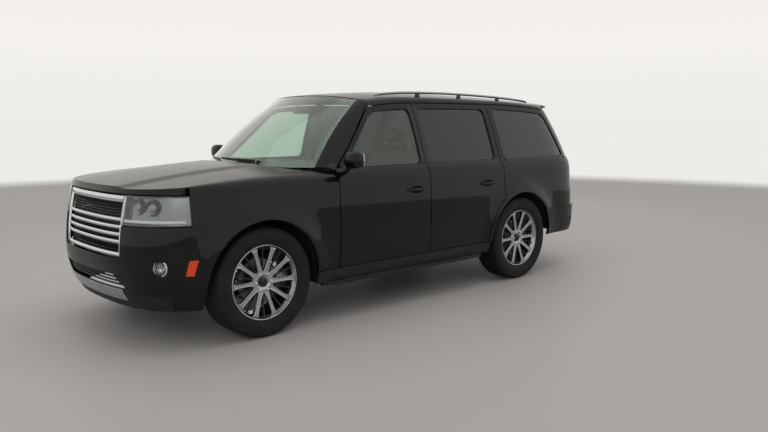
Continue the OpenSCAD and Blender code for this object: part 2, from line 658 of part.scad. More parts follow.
// Rocker cover under the doors, with the step
module rocker() {
    z0 = sill_z - 100;
    p = [for (i = [0:8]) let (x = lerp(axle_f - arch_r - 10, axle_r + arch_r + 10, i / 8))
        [for (z = [z0, sill_z - 60, sill_z - 20, sill_z]) side_pt(x, z)]];
    color("#0a0a0b") {
        plate(p, 22, [0, -1, 0]);
        translate([axle_r + arch_r + 90, side(0, z0) - 60, z0 - 35])
            cube([axle_f - axle_r - 2 * arch_r - 180, 90, 40]);
        // Brackets to the sill beam
        for (x = [axle_r + arch_r + 150, door_b, axle_f - arch_r - 200])
            translate([x, post_y + touch, sill_beam_z + 10]) cube([50, side(0, z0) - post_y - 10, 50]);
    }
}

// ---- Rear ----

arch_end = 180 - asin((bumper_r_z + seam - tyre_r) / arch_r);
function quarter_angle(k) =
    k < 5 ? lerp(arch_start, 60, k / 4) : k < 9 ? lerp(60, 90, (k - 4) / 4)
        : lerp(90, arch_end, (k - 8) / 6);
function quarter_base(k) =
    k < 15 ? let (a = quarter_angle(k)) [axle_r + arch_r * cos(a), tyre_r + arch_r * sin(a)]
    : [lerp(axle_r + arch_r * cos(arch_end), quarter_rear, (k - 14) / 4), bumper_r_z + seam];
quarter_front = concat(door_low, door_mid);
// Level gap that leaves a true gap square to the arched edge
function arch_gap(z) = let (dx = door_rear_x(z) - axle_r) gap * (dx > door_r - axle_r + 1
    ? (arch_r + door_lip) / dx : 1);
function quarter_top(k) =
    k < 9 ? let (z = quarter_front[k]) [door_rear_x(z) - arch_gap(z), z]
    : [lerp(door_r - gap, quarter_rear, (k - 8) / 10), belt_z];
quarter_p = [for (k = [0:18]) let (b = quarter_base(k), t = quarter_top(k))
    [for (v = [0, 0.12, 0.3, 0.5, 0.7, 0.8, 0.88, 0.94, 1]) side_pt(lerp(b[0], t[0], v),
        lerp(b[1], t[1], v))]];
module quarter_panel() {
    color("#0c0d0f") {
        plate(quarter_p, panel_t, [0, -1, 0]);
        // Bracket seated on the wheel liner
        z = tyre_r + liner_r + liner_t + touch;
        translate([axle_r - 25, side_y - 130, z]) cube([50,
            side(axle_r, z) - panel_t + 8 - side_y + 130, 18]);
    }
}

// Rear pillars: window frame behind the rear door, then round the corner to the tailgate
gate_y = function (z) gate_share * (half_w(z) - belt_step * clamp01((belt_row - z) / belt_rise));
corner_x = function (z) lerp(quarter_rear + 60, quarter_rear + 300,
    clamp01((z - belt_z) / (eave_z - belt_z)));
pillar_cols = 6;
corner_cols = 4;
function upper_z(j, x) =
    j == 0 ? belt_z + touch : j < 7 ? lerp(belt_row, door_top(x) - win_top, (j - 1) / 5) : door_top(x);
function upper_nominal(j) = j == 0 ? belt_z : j < 7 ? lerp(belt_row, eave_z - 95, (j - 1) / 5)
    : eave_z - 50;
gate_side = gap + 4;                       // gap beside the tailgate
function pillar_angle(k, z) = lerp(tail_angle_x(corner_x(z), z), tail_angle_y(gate_y(z) + gate_side, z),
    k / corner_cols);
function pillar_pt(i, j) =
    let (zn = upper_nominal(j), x0 = door_r - gap, x1 = corner_x(zn))
    i <= pillar_cols
    ? let (x = i == 0 ? x0 : lerp(x0 - 70, x1 + 40, (i - 1) / (pillar_cols - 1)), xx = i == pillar_cols
        ? x1 + 0.01 : x)
      side_pt(i == pillar_cols ? x1 : x, upper_z(j, xx))
    : let (z = upper_z(j, x1)) tail_pt(pillar_angle(i - pillar_cols, z), z);
pillar_p = [for (i = [0:pillar_cols + corner_cols]) [for (j = [0:7]) pillar_pt(i, j)]];
pillar_q = [for (i = [0:pillar_cols + corner_cols]) [for (j = [0:7])
    let (v = pillar_p[i][j], t = 1 - max(0, i - pillar_cols) / corner_cols) v + frame_t * turned(t, 1)]];
pillar_mask = [for (i = [0:pillar_cols + corner_cols - 1]) [for (j = [0:6]) !(i > 0 && i < pillar_cols
    - 1 && j > 0 && j < 6)]];
module rear_pillar() {
    color("#0c0d0f") skin(pillar_p, pillar_q, pillar_mask);
}
module quarter_pane() {
    color("#15191a") plate(pane_grid(pillar_p, 1, pillar_cols - 1, 1, 6), glass_t, [0, -1, 0]);
}

gate_low = bumper_r_z + gap;
spoiler_x = roof_rear - gap - 2;           // front edge of the spoiler
spoiler_l = 240;
spoiler_t = 45;
gate_top_x = roof_rear - 130;
function gate_top(y) = roof_z(gate_top_x, y) - spoiler_t - touch - 20 * pow(abs(y) / 560, 2);
gate_rows = 13;
// Rows at the heights of the tail lamps' rows, then of the rear pillars' rows
function gate_z(j, y) =
    j <= 5 ? lerp(gate_low, belt_z, j / 5)
    : j < gate_rows ? upper_z(j - 5, corner_x(upper_nominal(j - 5))) : gate_top(y);
gate_cols = [for (k = [-6:6]) -k / 6];
gate_p = [for (u = gate_cols) [for (j = [0:gate_rows])
    let (y = u * gate_y(min(gate_z(j, 0), eave_z)), z = gate_z(j, y)) [tail_x(y, z), y, z]]];
gate_mask = [for (i = [0:11]) [for (j = [0:gate_rows - 1]) !(i > 0 && i < 11 && j >= 6 && j < 11)]];
module tailgate() {
    color("#0c0d0f") plate(gate_p, gate_t, [1, 0, 0], gate_mask);
}

// Tailgate hinges: a hook from the roof's rear edge up into a pocket in the spoiler
gate_pin_x = spoiler_x - 30;
gate_hinge_y = 160;
gate_pin_z = roof_z(gate_pin_x, gate_hinge_y) - 15;
gate_pin_r = 4;
hook_w = 24;
module gate_hook() {
    z0 = roof_z(roof_rear, gate_hinge_y) - roof_t;
    drop = 56;
    translate([gate_pin_x, gate_hinge_y + hook_w / 2, gate_pin_z]) rotate([90, 0, 0]) difference() {
        union() {
            cylinder(r = 8, h = hook_w);
            translate([-8, -drop - 8, 0]) cube([16, drop + 8, hook_w]);
            translate([-8, -drop - 8, 0]) cube([90, 12, hook_w]);
            translate([52, -drop - 8, 0]) cube([30, z0 - gate_pin_z + drop + 8 + 6, hook_w]);
        }
        translate([0, 0, -1]) cylinder(r = gate_pin_r + pin_fit, h = hook_w + 2);
    }
}
module gate_pocket() {
    translate([gate_pin_x - 18, gate_hinge_y - hook_w / 2 - 6, gate_pin_z - 60])
        cube([49, hook_w + 12, 70]);
}
module gate_pin() {
    translate([gate_pin_x, gate_hinge_y + hook_w / 2 + 8, gate_pin_z]) rotate([90, 0, 0])
        cylinder(r = gate_pin_r, h = hook_w + 16);
}
module tailgate_pane() {
    p = [for (i = [1:11]) [for (j = [6:11])
        let (v = gate_p[i][j]) v + [pane_in, (i == 1 ? -1 : i == 11 ? 1 : 0) * 2 * touch,
                                    (j == 6 ? 1 : j == 11 ? -1 : 0) * 2 * touch]]];
    color("#15191a") plate(p, glass_t, [1, 0, 0]);
}

function spoiler_y(x) = (half_w(eave_z) - 17) * pow(max(0,
    1 - pow((tail_0 - x) / (tail_0 - roof_rear + gap + spoiler_l + 6), tail_px)), 1 / tail_py);
spoiler_p = [for (i = [0:7]) let (x = spoiler_x - spoiler_l * sin(90 * i / 7))
    [for (u = across(7)) let (y = -u * spoiler_y(x)) [x, y, roof_z(x, y)]]];
spoiler_q = [for (i = [0:7]) [for (v = spoiler_p[i])
    v - [0, 0, lerp(spoiler_t, 18, smooth((abs(v[1]) - 400) / 220)) * lerp(1, 0.45,
        smooth((i - 3) / 4))]]];
module spoiler() {
    color("#0c0d0f") {
        difference() {
            skin(spoiler_p, spoiler_q);
            both_sides() gate_pocket();
        }
        both_sides() gate_pin();
    }
}

rear_z = [low_z + 130, low_z + 165, 490, 560, 630, bumper_r_z];
rear_cols = 12;
function rear_end_x(z) = axle_r - (z <= tyre_r ? arch_r : sqrt(sq(arch_r) - sq(z - tyre_r)));
function rear_angle(k, z) = lerp(0, tail_angle_x(rear_end_x(z), z), k / rear_cols);
rear_bumper_p = [for (k = [rear_cols:-1:-rear_cols]) [for (z = rear_z)
    mirrored(tail_pt(rear_angle(abs(k), z), z), k)]];
rear_bumper_q = [for (k = [rear_cols:-1:-rear_cols]) [for (z = rear_z)
    let (f = rear_angle(abs(k), z)) mirrored(tail_pt(f, z) + 2 * panel_t * corner_in(f, -1), k)]];
// Open below the middle, round the towing socket
rear_bumper_mask = [for (i = [0:2 * rear_cols - 1]) [for (j = [0:len(rear_z) - 2])
    !(abs(i + 0.5 - rear_cols) < 1 && j < 1)]];
module rear_bumper() {
    color("#0a0a0b") {
        skin(rear_bumper_p, rear_bumper_q, rear_bumper_mask);
        // Brackets to the frame
        both_sides() translate([-body_l / 2 + 40, frame_y, frame_z0 + 25])
            cube([frame_rear - touch + body_l / 2 - 40, frame_w, 60]);
    }
}

module tail_lamp() {
    z_rows = [for (t = steps(5)) lerp(gate_low, belt_z, t) - (t == 1 ? seam : 0)];
    cols = 6;
    function f(k, z) = lerp(tail_angle_x(quarter_rear - glass_seat, z),
        tail_angle_y(gate_y(z) + gate_side, z), k / cols);
    p = [for (k = [0:cols]) [for (z = z_rows) tail_pt(f(k, z), z)]];
    q = [for (k = [0:cols]) [for (z = z_rows) tail_pt(f(k, z), z)
        + lerp(panel_t, 45, k / cols) * turned(1 - k / cols, 1)]];
    color("#5b0f0d") skin(p, q);
}

rail_h = 40;
rail_w = 36;
rail_t = 14;
module roof_rail() {
    // From the second row of the roof to the last but one, resting on it at both ends and midway
    first = 1;
    last = roof_n - 1;
    function y(i) = roof_y(roof_row_x(i)) - 34;
    function under(i, w) = roof_z(roof_row_x(i), y(i) + w) + touch;
    function lift(i) = (rail_h - rail_t) * pow(sin(180 * (i - first) / (last - first)), 0.35);
    p = [for (i = [first:last]) [for (w = [rail_w / 2, -rail_w / 2])
        [roof_row_x(i), y(i) + w, roof_z(roof_row_x(i), y(i)) + rail_t + 6 + lift(i)]]];
    q = [for (i = [first:last]) [for (w = [rail_w / 2, -rail_w / 2])
        let (v = p[i - first][w > 0 ? 0 : 1])
        [v[0], v[1], i == first || i == last ? under(i, w) : v[2] - rail_t]]];
    mid = (first + last) / 2;
    foot = [for (dx = [-30, 30]) [for (w = [12, -12]) let (x = roof_row_x(mid) - dx) [x, y(mid) + w,
        roof_z(x, y(mid) + w)]]];
    color("#8d9094") {
        skin(p, q);
        skin([for (r = foot) [for (v = r) v + [0, 0, rail_h - 4]]],
            [for (r = foot) [for (v = r) v + [0, 0, touch]]]);
    }
}

// ---- Floor, frame and running gear ----

inner_y = post_y - post_t;                 // half-width of the cabin floor
house_room = 124.5;                        // from a rear tyre in to its wheel house
house_y = track / 2 - tyre_w / 2 - house_room;
fire_x = door_f + 150;
module floor_pan() {
    color("#1a1b1c") {
        difference() {
            translate([quarter_rear + 20, -inner_y, floor_z - floor_t])
                cube([fire_x - quarter_rear - 20, 2 * inner_y, floor_t]);
            both_sides() translate([axle_r - arch_r - 60, house_y, floor_z - floor_t - 1])
                cube([2 * arch_r + 120, 400, floor_t + 2]);
        }
        translate([fire_x - floor_t, -inner_y, floor_z - 1])
            cube([floor_t, 2 * inner_y, belt_z - 60 - floor_z]);
    }
}

module liner(ax, y0, wall) {
    y1 = side_y - 90;
    translate([ax, y1, tyre_r]) rotate([90, 0, 0]) difference() {
        cylinder(r = liner_r + liner_t, h = y1 - y0, $fn = 96);
        translate([0, 0, -1]) cylinder(r = liner_r, h = y1 - y0 + 1 - wall, $fn = 96);
        translate([-liner_r - 20, -liner_r - 20, -1]) cube([2 * liner_r + 40, liner_r + 20 + 60,
            y1 - y0 + 2]);
    }
}
module wheel_liners() {
    color("#0a0a0b") both_sides() {
        liner(axle_f, 470, -2);
        // Tab to the hinge post
        translate([post_f_x + 79 + touch, post_y - 40, 700])
            cube([axle_f - liner_r - 1 - post_f_x + 8, 60, 15]);
        liner(axle_r, house_y + touch, liner_t);
    }
}

module ladder_frame() {
    color("#141414") {
        both_sides() difference() {
            translate([frame_rear, frame_y, frame_z0]) cube([frame_front - frame_rear, frame_w,
                frame_z1 - frame_z0]);
            translate([axle_r - 170, frame_y - 1, frame_z0 - 1])
                cube([340, frame_w + 2, frame_lift + 1]);
        }
        for (x = [frame_rear, axle_r + 420, door_b, door_f - 200, frame_front - 80])
            translate([x, -frame_y - 1, frame_z0 + 20]) cube([80, 2 * frame_y + 2,
                frame_z1 - frame_z0 - 40]);
        // Bumper beam
        translate([frame_front - 1, -560, frame_z0 + 5]) cube([beam_t + 1, 1120, 90]);
    }
}

// Towing socket: a square tube for a two-inch shank, cross-drilled for its pin
socket_in = 52;
socket_wall = 6.35;
socket_z = 380;
hitch_pin_r = 8.1;
socket_x0 = -body_l / 2 + 30;
module tow_receiver() {
    w = socket_in + 2 * socket_wall;
    color("#141414") difference() {
        union() {
            translate([socket_x0, -w / 2, socket_z - w / 2]) cube([250, w, w]);
            translate([frame_rear - 10, -frame_y - frame_w, socket_z - 30])
                cube([70, 2 * (frame_y + frame_w), frame_z0 - touch - socket_z + 30]);
        }
        translate([socket_x0 - 1, -socket_in / 2, socket_z - socket_in / 2])
            cube([220, socket_in, socket_in]);
        translate([socket_x0 + 60, w / 2 + 1, socket_z]) rotate([90, 0, 0])
            cylinder(r = hitch_pin_r, h = w + 2);
    }
}

module engine() {
    color("#55585a") {
        translate([axle_f - 250, -280, 600]) cube([700, 560, 400]);
        both_sides() translate([axle_f - 100, 279, frame_z1 + touch]) cube([120, frame_y - 220, 100]);
    }
}

spindle_r = spindle_d / 2;
wheel_y = track / 2;
hub_in = 20;                               // hub face inboard of the wheel centre
disc_t = 26;                               // thickness of a brake disc
disc_r = 172;
module wheel_at(ax) {
    translate([ax, wheel_y, tyre_r]) rotate([-90, 0, 0]) children();
}

module tyre() {
    w = tyre_w / 2;
    r0 = rim_d / 2 + touch;
    r1 = tyre_r;
    color("#121212") rotate_extrude($fn = 96)
        polygon([[r0, -w + 22], [r0 + 30, -w + 6], [r0 + 70, -w], [r1 - 28, -w + 8], [r1 - 8, -w + 22],
            [r1, -w + 46],
                 [r1, w - 46], [r1 - 8, w - 22], [r1 - 28, w - 8], [r0 + 70, w], [r0 + 30, w - 6],
                     [r0, w - 22]]);
}

spokes = 10;
module rim() {
    w = tyre_w / 2 - 22;
    r = rim_d / 2;
    color("#9a9c9e") {
        rotate_extrude($fn = 96) polygon([[r, -w], [r, w], [r - 9, w], [r - 16, w - 24],
            [r - 26, w - 40], [r - 26, -w + 14], [r - 9, -w]]);
        difference() {
            union() {
                translate([0, 0, w - 62]) cylinder(r = 72, h = 44);
                for (k = [0:spokes - 1]) rotate([0, 0, k * 360 / spokes])
                    translate([50, -17, w - 58]) cube([r - 70, 34, 34]);
                translate([0, 0, -hub_in]) cylinder(r = 68, h = w - 61 + hub_in);
                translate([0, 0, -hub_in]) cylinder(r = disc_r, h = disc_t);
            }
            translate([0, 0, -hub_in - 1]) cylinder(r = spindle_r + hub_fit, h = w + hub_in - 60);
        }
    }
}

king_y = wheel_y - 65;                     // steering pivot of the left knuckle
king_r = 22;
king_h = 260;                              // height of the knuckle between its arms
spindle_out = tyre_w / 2 - 22 - 70;        // how far the stub axle reaches past the wheel centre
flange_gap = 8;
module stub_axle(l) {
    translate([0, 0, -l]) cylinder(r = spindle_r, h = l + spindle_out);
    translate([0, 0, -l]) cylinder(r = 62, h = l - hub_in - flange_gap);
}
module knuckle() {
    color("#3a3c3e") {
        wheel_at(axle_f) stub_axle(wheel_y - king_y);
        translate([axle_f, king_y, tyre_r - king_h / 2]) cylinder(r = king_r, h = king_h);
        translate([axle_f - 150, king_y - 35, tyre_r - 60]) cube([150, 26, 40]);
    }
}

arm_t = 28;
module suspension_arm() {
    // Lower and upper arms, from the frame to the pivots of the knuckle
    for (z = [tyre_r - king_h / 2 - arm_t - touch, tyre_r + king_h / 2 + touch])
        translate([0, 0, z]) linear_extrude(arm_t) polygon([
            [axle_f - 30, king_y + 18], [axle_f + 30, king_y + 18],
            [axle_f + 170, frame_y + frame_w + touch], [axle_f + 110, frame_y + frame_w + touch],
            [axle_f, frame_y + frame_w + 90],
            [axle_f - 110, frame_y + frame_w + touch], [axle_f - 170, frame_y + frame_w + touch]]);
}
module suspension() {
    color("#202122") both_sides() suspension_arm();
}

module rear_axle() {
    color("#202122") {
        both_sides() wheel_at(axle_r) stub_axle(130);
        translate([axle_r, wheel_y - 120, tyre_r]) rotate([90, 0, 0])
            cylinder(r = 45, h = 2 * (wheel_y - 120));
        translate([axle_r, 0, tyre_r]) sphere(r = 125);
        both_sides() translate([axle_r, frame_y + frame_w / 2, tyre_r])
            cylinder(r = 50, h = frame_z0 + frame_lift - tyre_r - touch);
    }
}

module fuel_tank() {
    color("#18191a") {
        translate([axle_r + 560, 60, 330]) cube([700, 300, 105]);
        for (x = [axle_r + 620, axle_r + 1160]) translate([x, 340, 430])
            cube([50, 80, frame_z0 - touch - 430]);
    }
}
// A bent round bar through a list of points
module bar(points, r) {
    for (k = [0:len(points) - 2]) let (d = points[k + 1] - points[k])
        translate(points[k]) rotate([0, acos(d[2] / norm(d)), atan2(d[1], d[0])])
            cylinder(r = r, h = norm(d));
    for (k = [1:len(points) - 2]) translate(points[k]) sphere(r = r + 1);
}

muffler_x = axle_r + 520;
module exhaust() {
    pipe_z = 395;
    color("#6d6f70") {
        translate([door_f - 300, -280, pipe_z]) rotate([0, -90, 0])
            cylinder(r = 32, h = door_f - 640 - muffler_x);
        translate([muffler_x, -370, 330]) cube([350, 170, 105]);
        bar([[muffler_x + 5, -290, 390], [axle_r + 400, -290, 390], [axle_r + 230, -290, 515],
            [axle_r - 250, -290, 515],
             [axle_r - 420, -290, 385], [axle_r - 560, -560, 375], [-body_l / 2 + 130, -560, 365]], 28);
        // Hanger under the frame
        translate([muffler_x + 100, -400, 415]) cube([30, 60, frame_z0 - touch - 415]);
    }
}

// ---- Cabin ----

module dashboard() {
    color("#17181a") translate([0, inner_y - 12, 0]) rotate([90, 0, 0]) linear_extrude(2 * inner_y - 24)
        polygon([[fire_x - floor_t - touch, 900], [fire_x - floor_t - touch, 1140], [door_f + 60, 1165],
            [door_f - 120, 1160],
                 [door_f - 210, 1120], [door_f - 190, 1020], [door_f - 60, 900]]);
    color("#17181a") translate([door_b + 100, -130, floor_z + touch])
        cube([door_f - door_b - 350, 260, 330]);
    color("#17181a") translate(wheel_pos) rotate([0, -wheel_lean, 0]) translate([0, 0, -220])
        cylinder(r = 34, h = 110);
}

wheel_pos = [door_f - 330, 390, 1085];
wheel_lean = 65;                           // angle of the column axis from upright
column_l = 110 - touch;
module steering_wheel() {
    color("#141414") translate(wheel_pos) rotate([0, -wheel_lean, 0]) {
        rotate_extrude($fn = 72) translate([steering_d / 2 - 16, 0]) circle(r = 16);
        cylinder(r = 62, h = 36, center = true);
        for (a = [0, 90, 180]) rotate([0, 0, a + 180]) translate([40, -16, -9])
            cube([steering_d / 2 - 70 + 24, 32, 18]);
        translate([0, 0, -column_l]) cylinder(r = 20, h = column_l);
    }
}

module seat(x, y, w, cushion, back_h) {
    // Cushion on its plinth, leaning backrest and headrest
    translate([x - cushion, y - w / 2, floor_z + 170]) cube([cushion, w, 150]);
    translate([x - cushion + 60, y - w / 2 + 50, floor_z + touch]) cube([cushion - 120, w - 100, 171]);
    translate([x - cushion, y + w / 2, floor_z + 250]) rotate([90, 0, 0]) linear_extrude(w)
        polygon([[0, 0], [110, 0], [110 - 0.24 * back_h, back_h], [-0.24 * back_h, back_h]]);
    translate([x - cushion - 0.24 * back_h + 10, y - 120, floor_z + 249 + back_h]) cube([80, 240, 150]);
}
seat_front_x = door_b + 560;
seat_rear_x = door_b - 330;
seat_third_x = axle_r + 180;
module front_seats() {
    color("#1c1c1e") for (y = [-390, 390]) seat(seat_front_x, y, seat_w, 520, 560);
}
module rear_seats() {
    color("#1c1c1e") {
        for (y = [-390, 390]) seat(seat_rear_x, y, seat_w, 480, 540);
        seat(seat_third_x, 0, 2 * house_y - 60, 430, 480);
    }
}

// ---- Nodes ----

ladder_frame();
tow_receiver();
floor_pan();
radiator();
engine();
suspension();
rear_axle();
fuel_tank();
exhaust();
wheel_liners();
cabin_frame();
roof();
both_sides() roof_rail();  // roof_rails
windshield();
cowl();
both_sides() front_fender();  // front_fenders
both_sides() quarter_panel();  // quarter_panels
both_sides() rear_pillar();  // rear_pillars
both_sides() quarter_pane();  // quarter_glass
both_sides() rocker();  // rockers
front_bumper();
grille();
both_sides() front_lamp();  // front_lamps
rear_bumper();
both_sides() tail_lamp();  // tail_lamps
dashboard();
front_seats();
rear_seats();
hood();
tailgate();
tailgate_pane();  // tailgate_glass
spoiler();
door(front_p, front_pin_x);  // front_door_left
on_side(-1) door(front_p, front_pin_x);  // front_door_right
door(rear_p, rear_pin_x);  // rear_door_left
on_side(-1) door(rear_p, rear_pin_x);  // rear_door_right
pane(front_p);  // front_glass_left
on_side(-1) pane(front_p);  // front_glass_right
pane(rear_p);  // rear_glass_left
on_side(-1) pane(rear_p);  // rear_glass_right
mirror_shell();  // mirror_left
on_side(-1) mirror_shell();  // mirror_right
steering_wheel();
knuckle();  // knuckle_left
on_side(-1) knuckle();  // knuckle_right
wheel_at(axle_f) rim();  // front_rim_left
on_side(-1) wheel_at(axle_f) rim();  // front_rim_right
wheel_at(axle_r) rim();  // rear_rim_left
on_side(-1) wheel_at(axle_r) rim();  // rear_rim_right
wheel_at(axle_f) tyre();  // front_tyre_left
on_side(-1) wheel_at(axle_f) tyre();  // front_tyre_right
wheel_at(axle_r) tyre();  // rear_tyre_left
on_side(-1) wheel_at(axle_r) tyre();  // rear_tyre_right
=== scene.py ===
import math

import bmesh
import bpy
import numpy as np
from mathutils import Matrix, Vector


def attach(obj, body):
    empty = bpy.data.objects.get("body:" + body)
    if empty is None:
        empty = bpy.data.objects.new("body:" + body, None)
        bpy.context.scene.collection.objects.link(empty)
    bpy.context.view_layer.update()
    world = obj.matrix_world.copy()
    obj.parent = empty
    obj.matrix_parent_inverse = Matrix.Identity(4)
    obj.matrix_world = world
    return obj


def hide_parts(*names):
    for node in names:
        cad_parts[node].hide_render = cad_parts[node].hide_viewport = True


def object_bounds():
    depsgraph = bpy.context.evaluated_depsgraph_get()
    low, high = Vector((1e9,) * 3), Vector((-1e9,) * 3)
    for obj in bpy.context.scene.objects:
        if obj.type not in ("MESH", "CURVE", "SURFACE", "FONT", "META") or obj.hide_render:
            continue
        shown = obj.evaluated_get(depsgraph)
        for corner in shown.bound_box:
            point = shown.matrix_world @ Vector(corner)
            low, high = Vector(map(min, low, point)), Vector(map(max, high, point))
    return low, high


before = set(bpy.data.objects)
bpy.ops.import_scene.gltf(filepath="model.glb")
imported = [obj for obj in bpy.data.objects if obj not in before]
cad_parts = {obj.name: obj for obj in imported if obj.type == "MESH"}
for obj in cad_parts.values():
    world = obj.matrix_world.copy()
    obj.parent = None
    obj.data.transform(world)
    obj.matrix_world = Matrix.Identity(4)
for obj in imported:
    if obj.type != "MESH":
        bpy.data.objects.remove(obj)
cad_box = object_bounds()


# ---- Front fenders ----
# Pressed steel panels round the front wheels, bolted to the hinge posts and along the hood's edges.
# Gloss black base coat under clear coat. Like every outer panel they are patches of one body
# surface: side() gives the half-width at a station and height, in millimetres.
LENGTH, SIDE, ROOF, BELT, SILL, LOW = 5300, 985, 1880, 1215, 430, 275
GAP, SEAM, FLARE, TUMBLE = 8, 3, 30, 205
AXLE_F, AXLE_R, TYRE_R, ARCH_R, WHEEL_Y = 1690, -1390, 417, 475, 845
EAVE, RIDGE, SHOULDER = ROOF - 115, BELT + 47, BELT - 135
MID, HOOD_NOSE = SHOULDER - 320, SHOULDER + 75
LAMP_TOP, LAMP_LOW = SHOULDER + 15, SHOULDER - 190
FASCIA = LAMP_LOW - 8
GRILLE_LOW = FASCIA - 232
BUMPER_TOP_R = LOW + 420
DOOR_F, DOOR_R = AXLE_F - ARCH_R - 235, AXLE_R + 290
DOOR_B = (DOOR_F + DOOR_R) / 2
PILLAR_TOP = DOOR_B + 540
PILLAR_SLOPE = (DOOR_F - PILLAR_TOP) / (EAVE - 40 - BELT)
NOSE_0, TAIL_0 = LENGTH / 2 - 1450, 1150 - LENGTH / 2
ROOF_REAR, LAMP_BACK, QUARTER_REAR = -2150, LENGTH / 2 - 400, -2330
COWL_Y, GRILLE_Y = 830, 500
NOSE_PX, NOSE_PY, TAIL_PX, TAIL_PY = 6, 2.6, 7, 3
PANEL = 25
BELT_ROW = BELT + 15
BELT_IN = 10 + 145 * (1 - math.sqrt(1 - ((BELT - SHOULDER) / (RIDGE - SHOULDER)) ** 2))


BOTH = ((False, "left"), (True, "right"))


def round_in(n):
    # The angles of n points round a circle
    return [2 * math.pi * i / n for i in range(n)]


def oval(a, b, n, power=1, other=None):
    # Points round an ellipse of half-axes a and b, squarer as the power falls
    return [(a * squared(math.cos(g), power), b * squared(math.sin(g), other or power))
            for g in round_in(n)]


def squared(c, power):
    # A cosine or sine drawn out, so that a circle becomes a rounded rectangle
    return math.copysign(abs(c) ** power, c)


def clamp(t):
    return min(1.0, max(0.0, t))


def lerp(a, b, t):
    return a + (b - a) * t


def smooth(t):
    t = clamp(t)
    return t * t * (3 - 2 * t)


def spread(a, b, n):
    return [lerp(a, b, k / n) for k in range(n + 1)]


def steps(*parts):
    # Values through several stretches, each given by its start and its number of steps, to an end
    ends = [start for start, _ in parts[:-1]] + [parts[-1]]
    return [v for k, (a, n) in enumerate(parts[:-1]) for v in spread(a, ends[k + 1], n)[:-1]] + [parts[-1]]


def side_in(z):
    if z < MID:
        return 55 * ((MID - z) / (MID - LOW)) ** 2
    if z <= SHOULDER:
        return 10 * ((z - MID) / (SHOULDER - MID)) ** 2
    if z <= BELT:
        return 10 + 145 * (1 - math.sqrt(max(0, 1 - ((z - SHOULDER) / (RIDGE - SHOULDER)) ** 2)))
    t = (z - BELT) / (EAVE - BELT)
    return BELT_IN + 10 * clamp((z - BELT) / 15) + TUMBLE * (0.78 * t + 0.22 * t * t)


def half_w(z):
    return SIDE - side_in(z)


def nose_a(z):
    back = 110 * ((600 - z) / (600 - LOW)) ** 2 if z < 600 else 85 * ((z - 600) / (HOOD_NOSE - 600)) ** 2
    return LENGTH / 2 - NOSE_0 - back


def tail_a(z):
    if z < 500:
        back = 60 * ((500 - z) / (500 - LOW)) ** 2
    elif z <= BUMPER_TOP_R:
        back = 0
    elif z <= BELT:
        back = 55 + 45 * (z - BUMPER_TOP_R) / (BELT - BUMPER_TOP_R)
    else:
        t = (z - BELT) / (EAVE - BELT)
        back = 100 + 215 * t + 55 * t * t
    return TAIL_0 + LENGTH / 2 - back


def flare(x, z):
    most = 0
    for ax in (AXLE_F, AXLE_R):
        r = math.hypot(x - ax, z - TYRE_R)
        most = max(most, (1 if r < ARCH_R else math.exp(-((r - ARCH_R) / 95) ** 2)) * smooth((z
                                                                                              - LOW) / 200))
    return FLARE * most


def side(x, z):
    if x > NOSE_0:
        k = max(0, 1 - min(1, (x - NOSE_0) / nose_a(z)) ** NOSE_PX) ** (1 / NOSE_PY)
    elif x < TAIL_0:
        k = max(0, 1 - min(1, (TAIL_0 - x) / tail_a(z)) ** TAIL_PX) ** (1 / TAIL_PY)
    else:
        k = 1
    lean = 40 * ((x - DOOR_B) / 1200) ** 2 * clamp((z - SHOULDER) / (EAVE - SHOULDER)) if x > DOOR_B else 0
    return (half_w(z) - lean) * k + flare(x, z)


def side_pt(x, z):
    return (x, side(x, z), z)


def hood_s(x):
    a, b = DOOR_F + 320, LENGTH / 2 - 170
    return clamp((x - a) / (b - a) / 1.1) * 1.1


def hood_z(x, y):
    s = hood_s(x)
    return (RIDGE - (RIDGE - HOOD_NOSE + 6) * (0.35 * s + 0.65 * s * s)
            - 45 * (1 - 0.68 * s) * (abs(y) / (COWL_Y - 30)) ** 2.4
            + 14 * (1 - smooth((abs(y) - 0.45 * COWL_Y) / 110)))


def nose_x(y, z):
    return NOSE_0 + nose_a(z) * max(0, 1 - min(1, abs(y) / half_w(z)) ** NOSE_PY) ** (1 / NOSE_PX)


def cowl_x(y):
    return DOOR_F + 420 - 300 * (abs(y) / COWL_Y) ** 2.2 + 62


HOOD_TIP_Y = 872
HOOD_TIP_X = nose_x(HOOD_TIP_Y, HOOD_NOSE)


def hood_edge(x):
    return lerp(COWL_Y, HOOD_TIP_Y, (x - cowl_x(COWL_Y)) / (HOOD_TIP_X - cowl_x(COWL_Y)))


def linear(colour):
    # An sRGB hex colour as linear values
    rgb = [int(colour[k:k + 2], 16) / 255 for k in (1, 3, 5)]
    return [c / 12.92 if c <= 0.04045 else ((c + 0.055) / 1.055) ** 2.4 for c in rgb] + [1]


def plug(tree, node, links):
    # Joins or sets a node's sockets by name or number; an underscore in a name stands for a space
    for name, value in links.items():
        socket = node.inputs[name.replace("_", " ") if isinstance(name, str) else name]
        if isinstance(value, bpy.types.NodeSocket):
            tree.links.new(value, socket)
        else:
            socket.default_value = value


def add(tree, kind, links={}, **settings):
    # One node, with its sockets and then its own settings
    made = tree.nodes.new(kind)
    for name, value in settings.items():
        setattr(made, name, value)
    plug(tree, made, links)
    return made


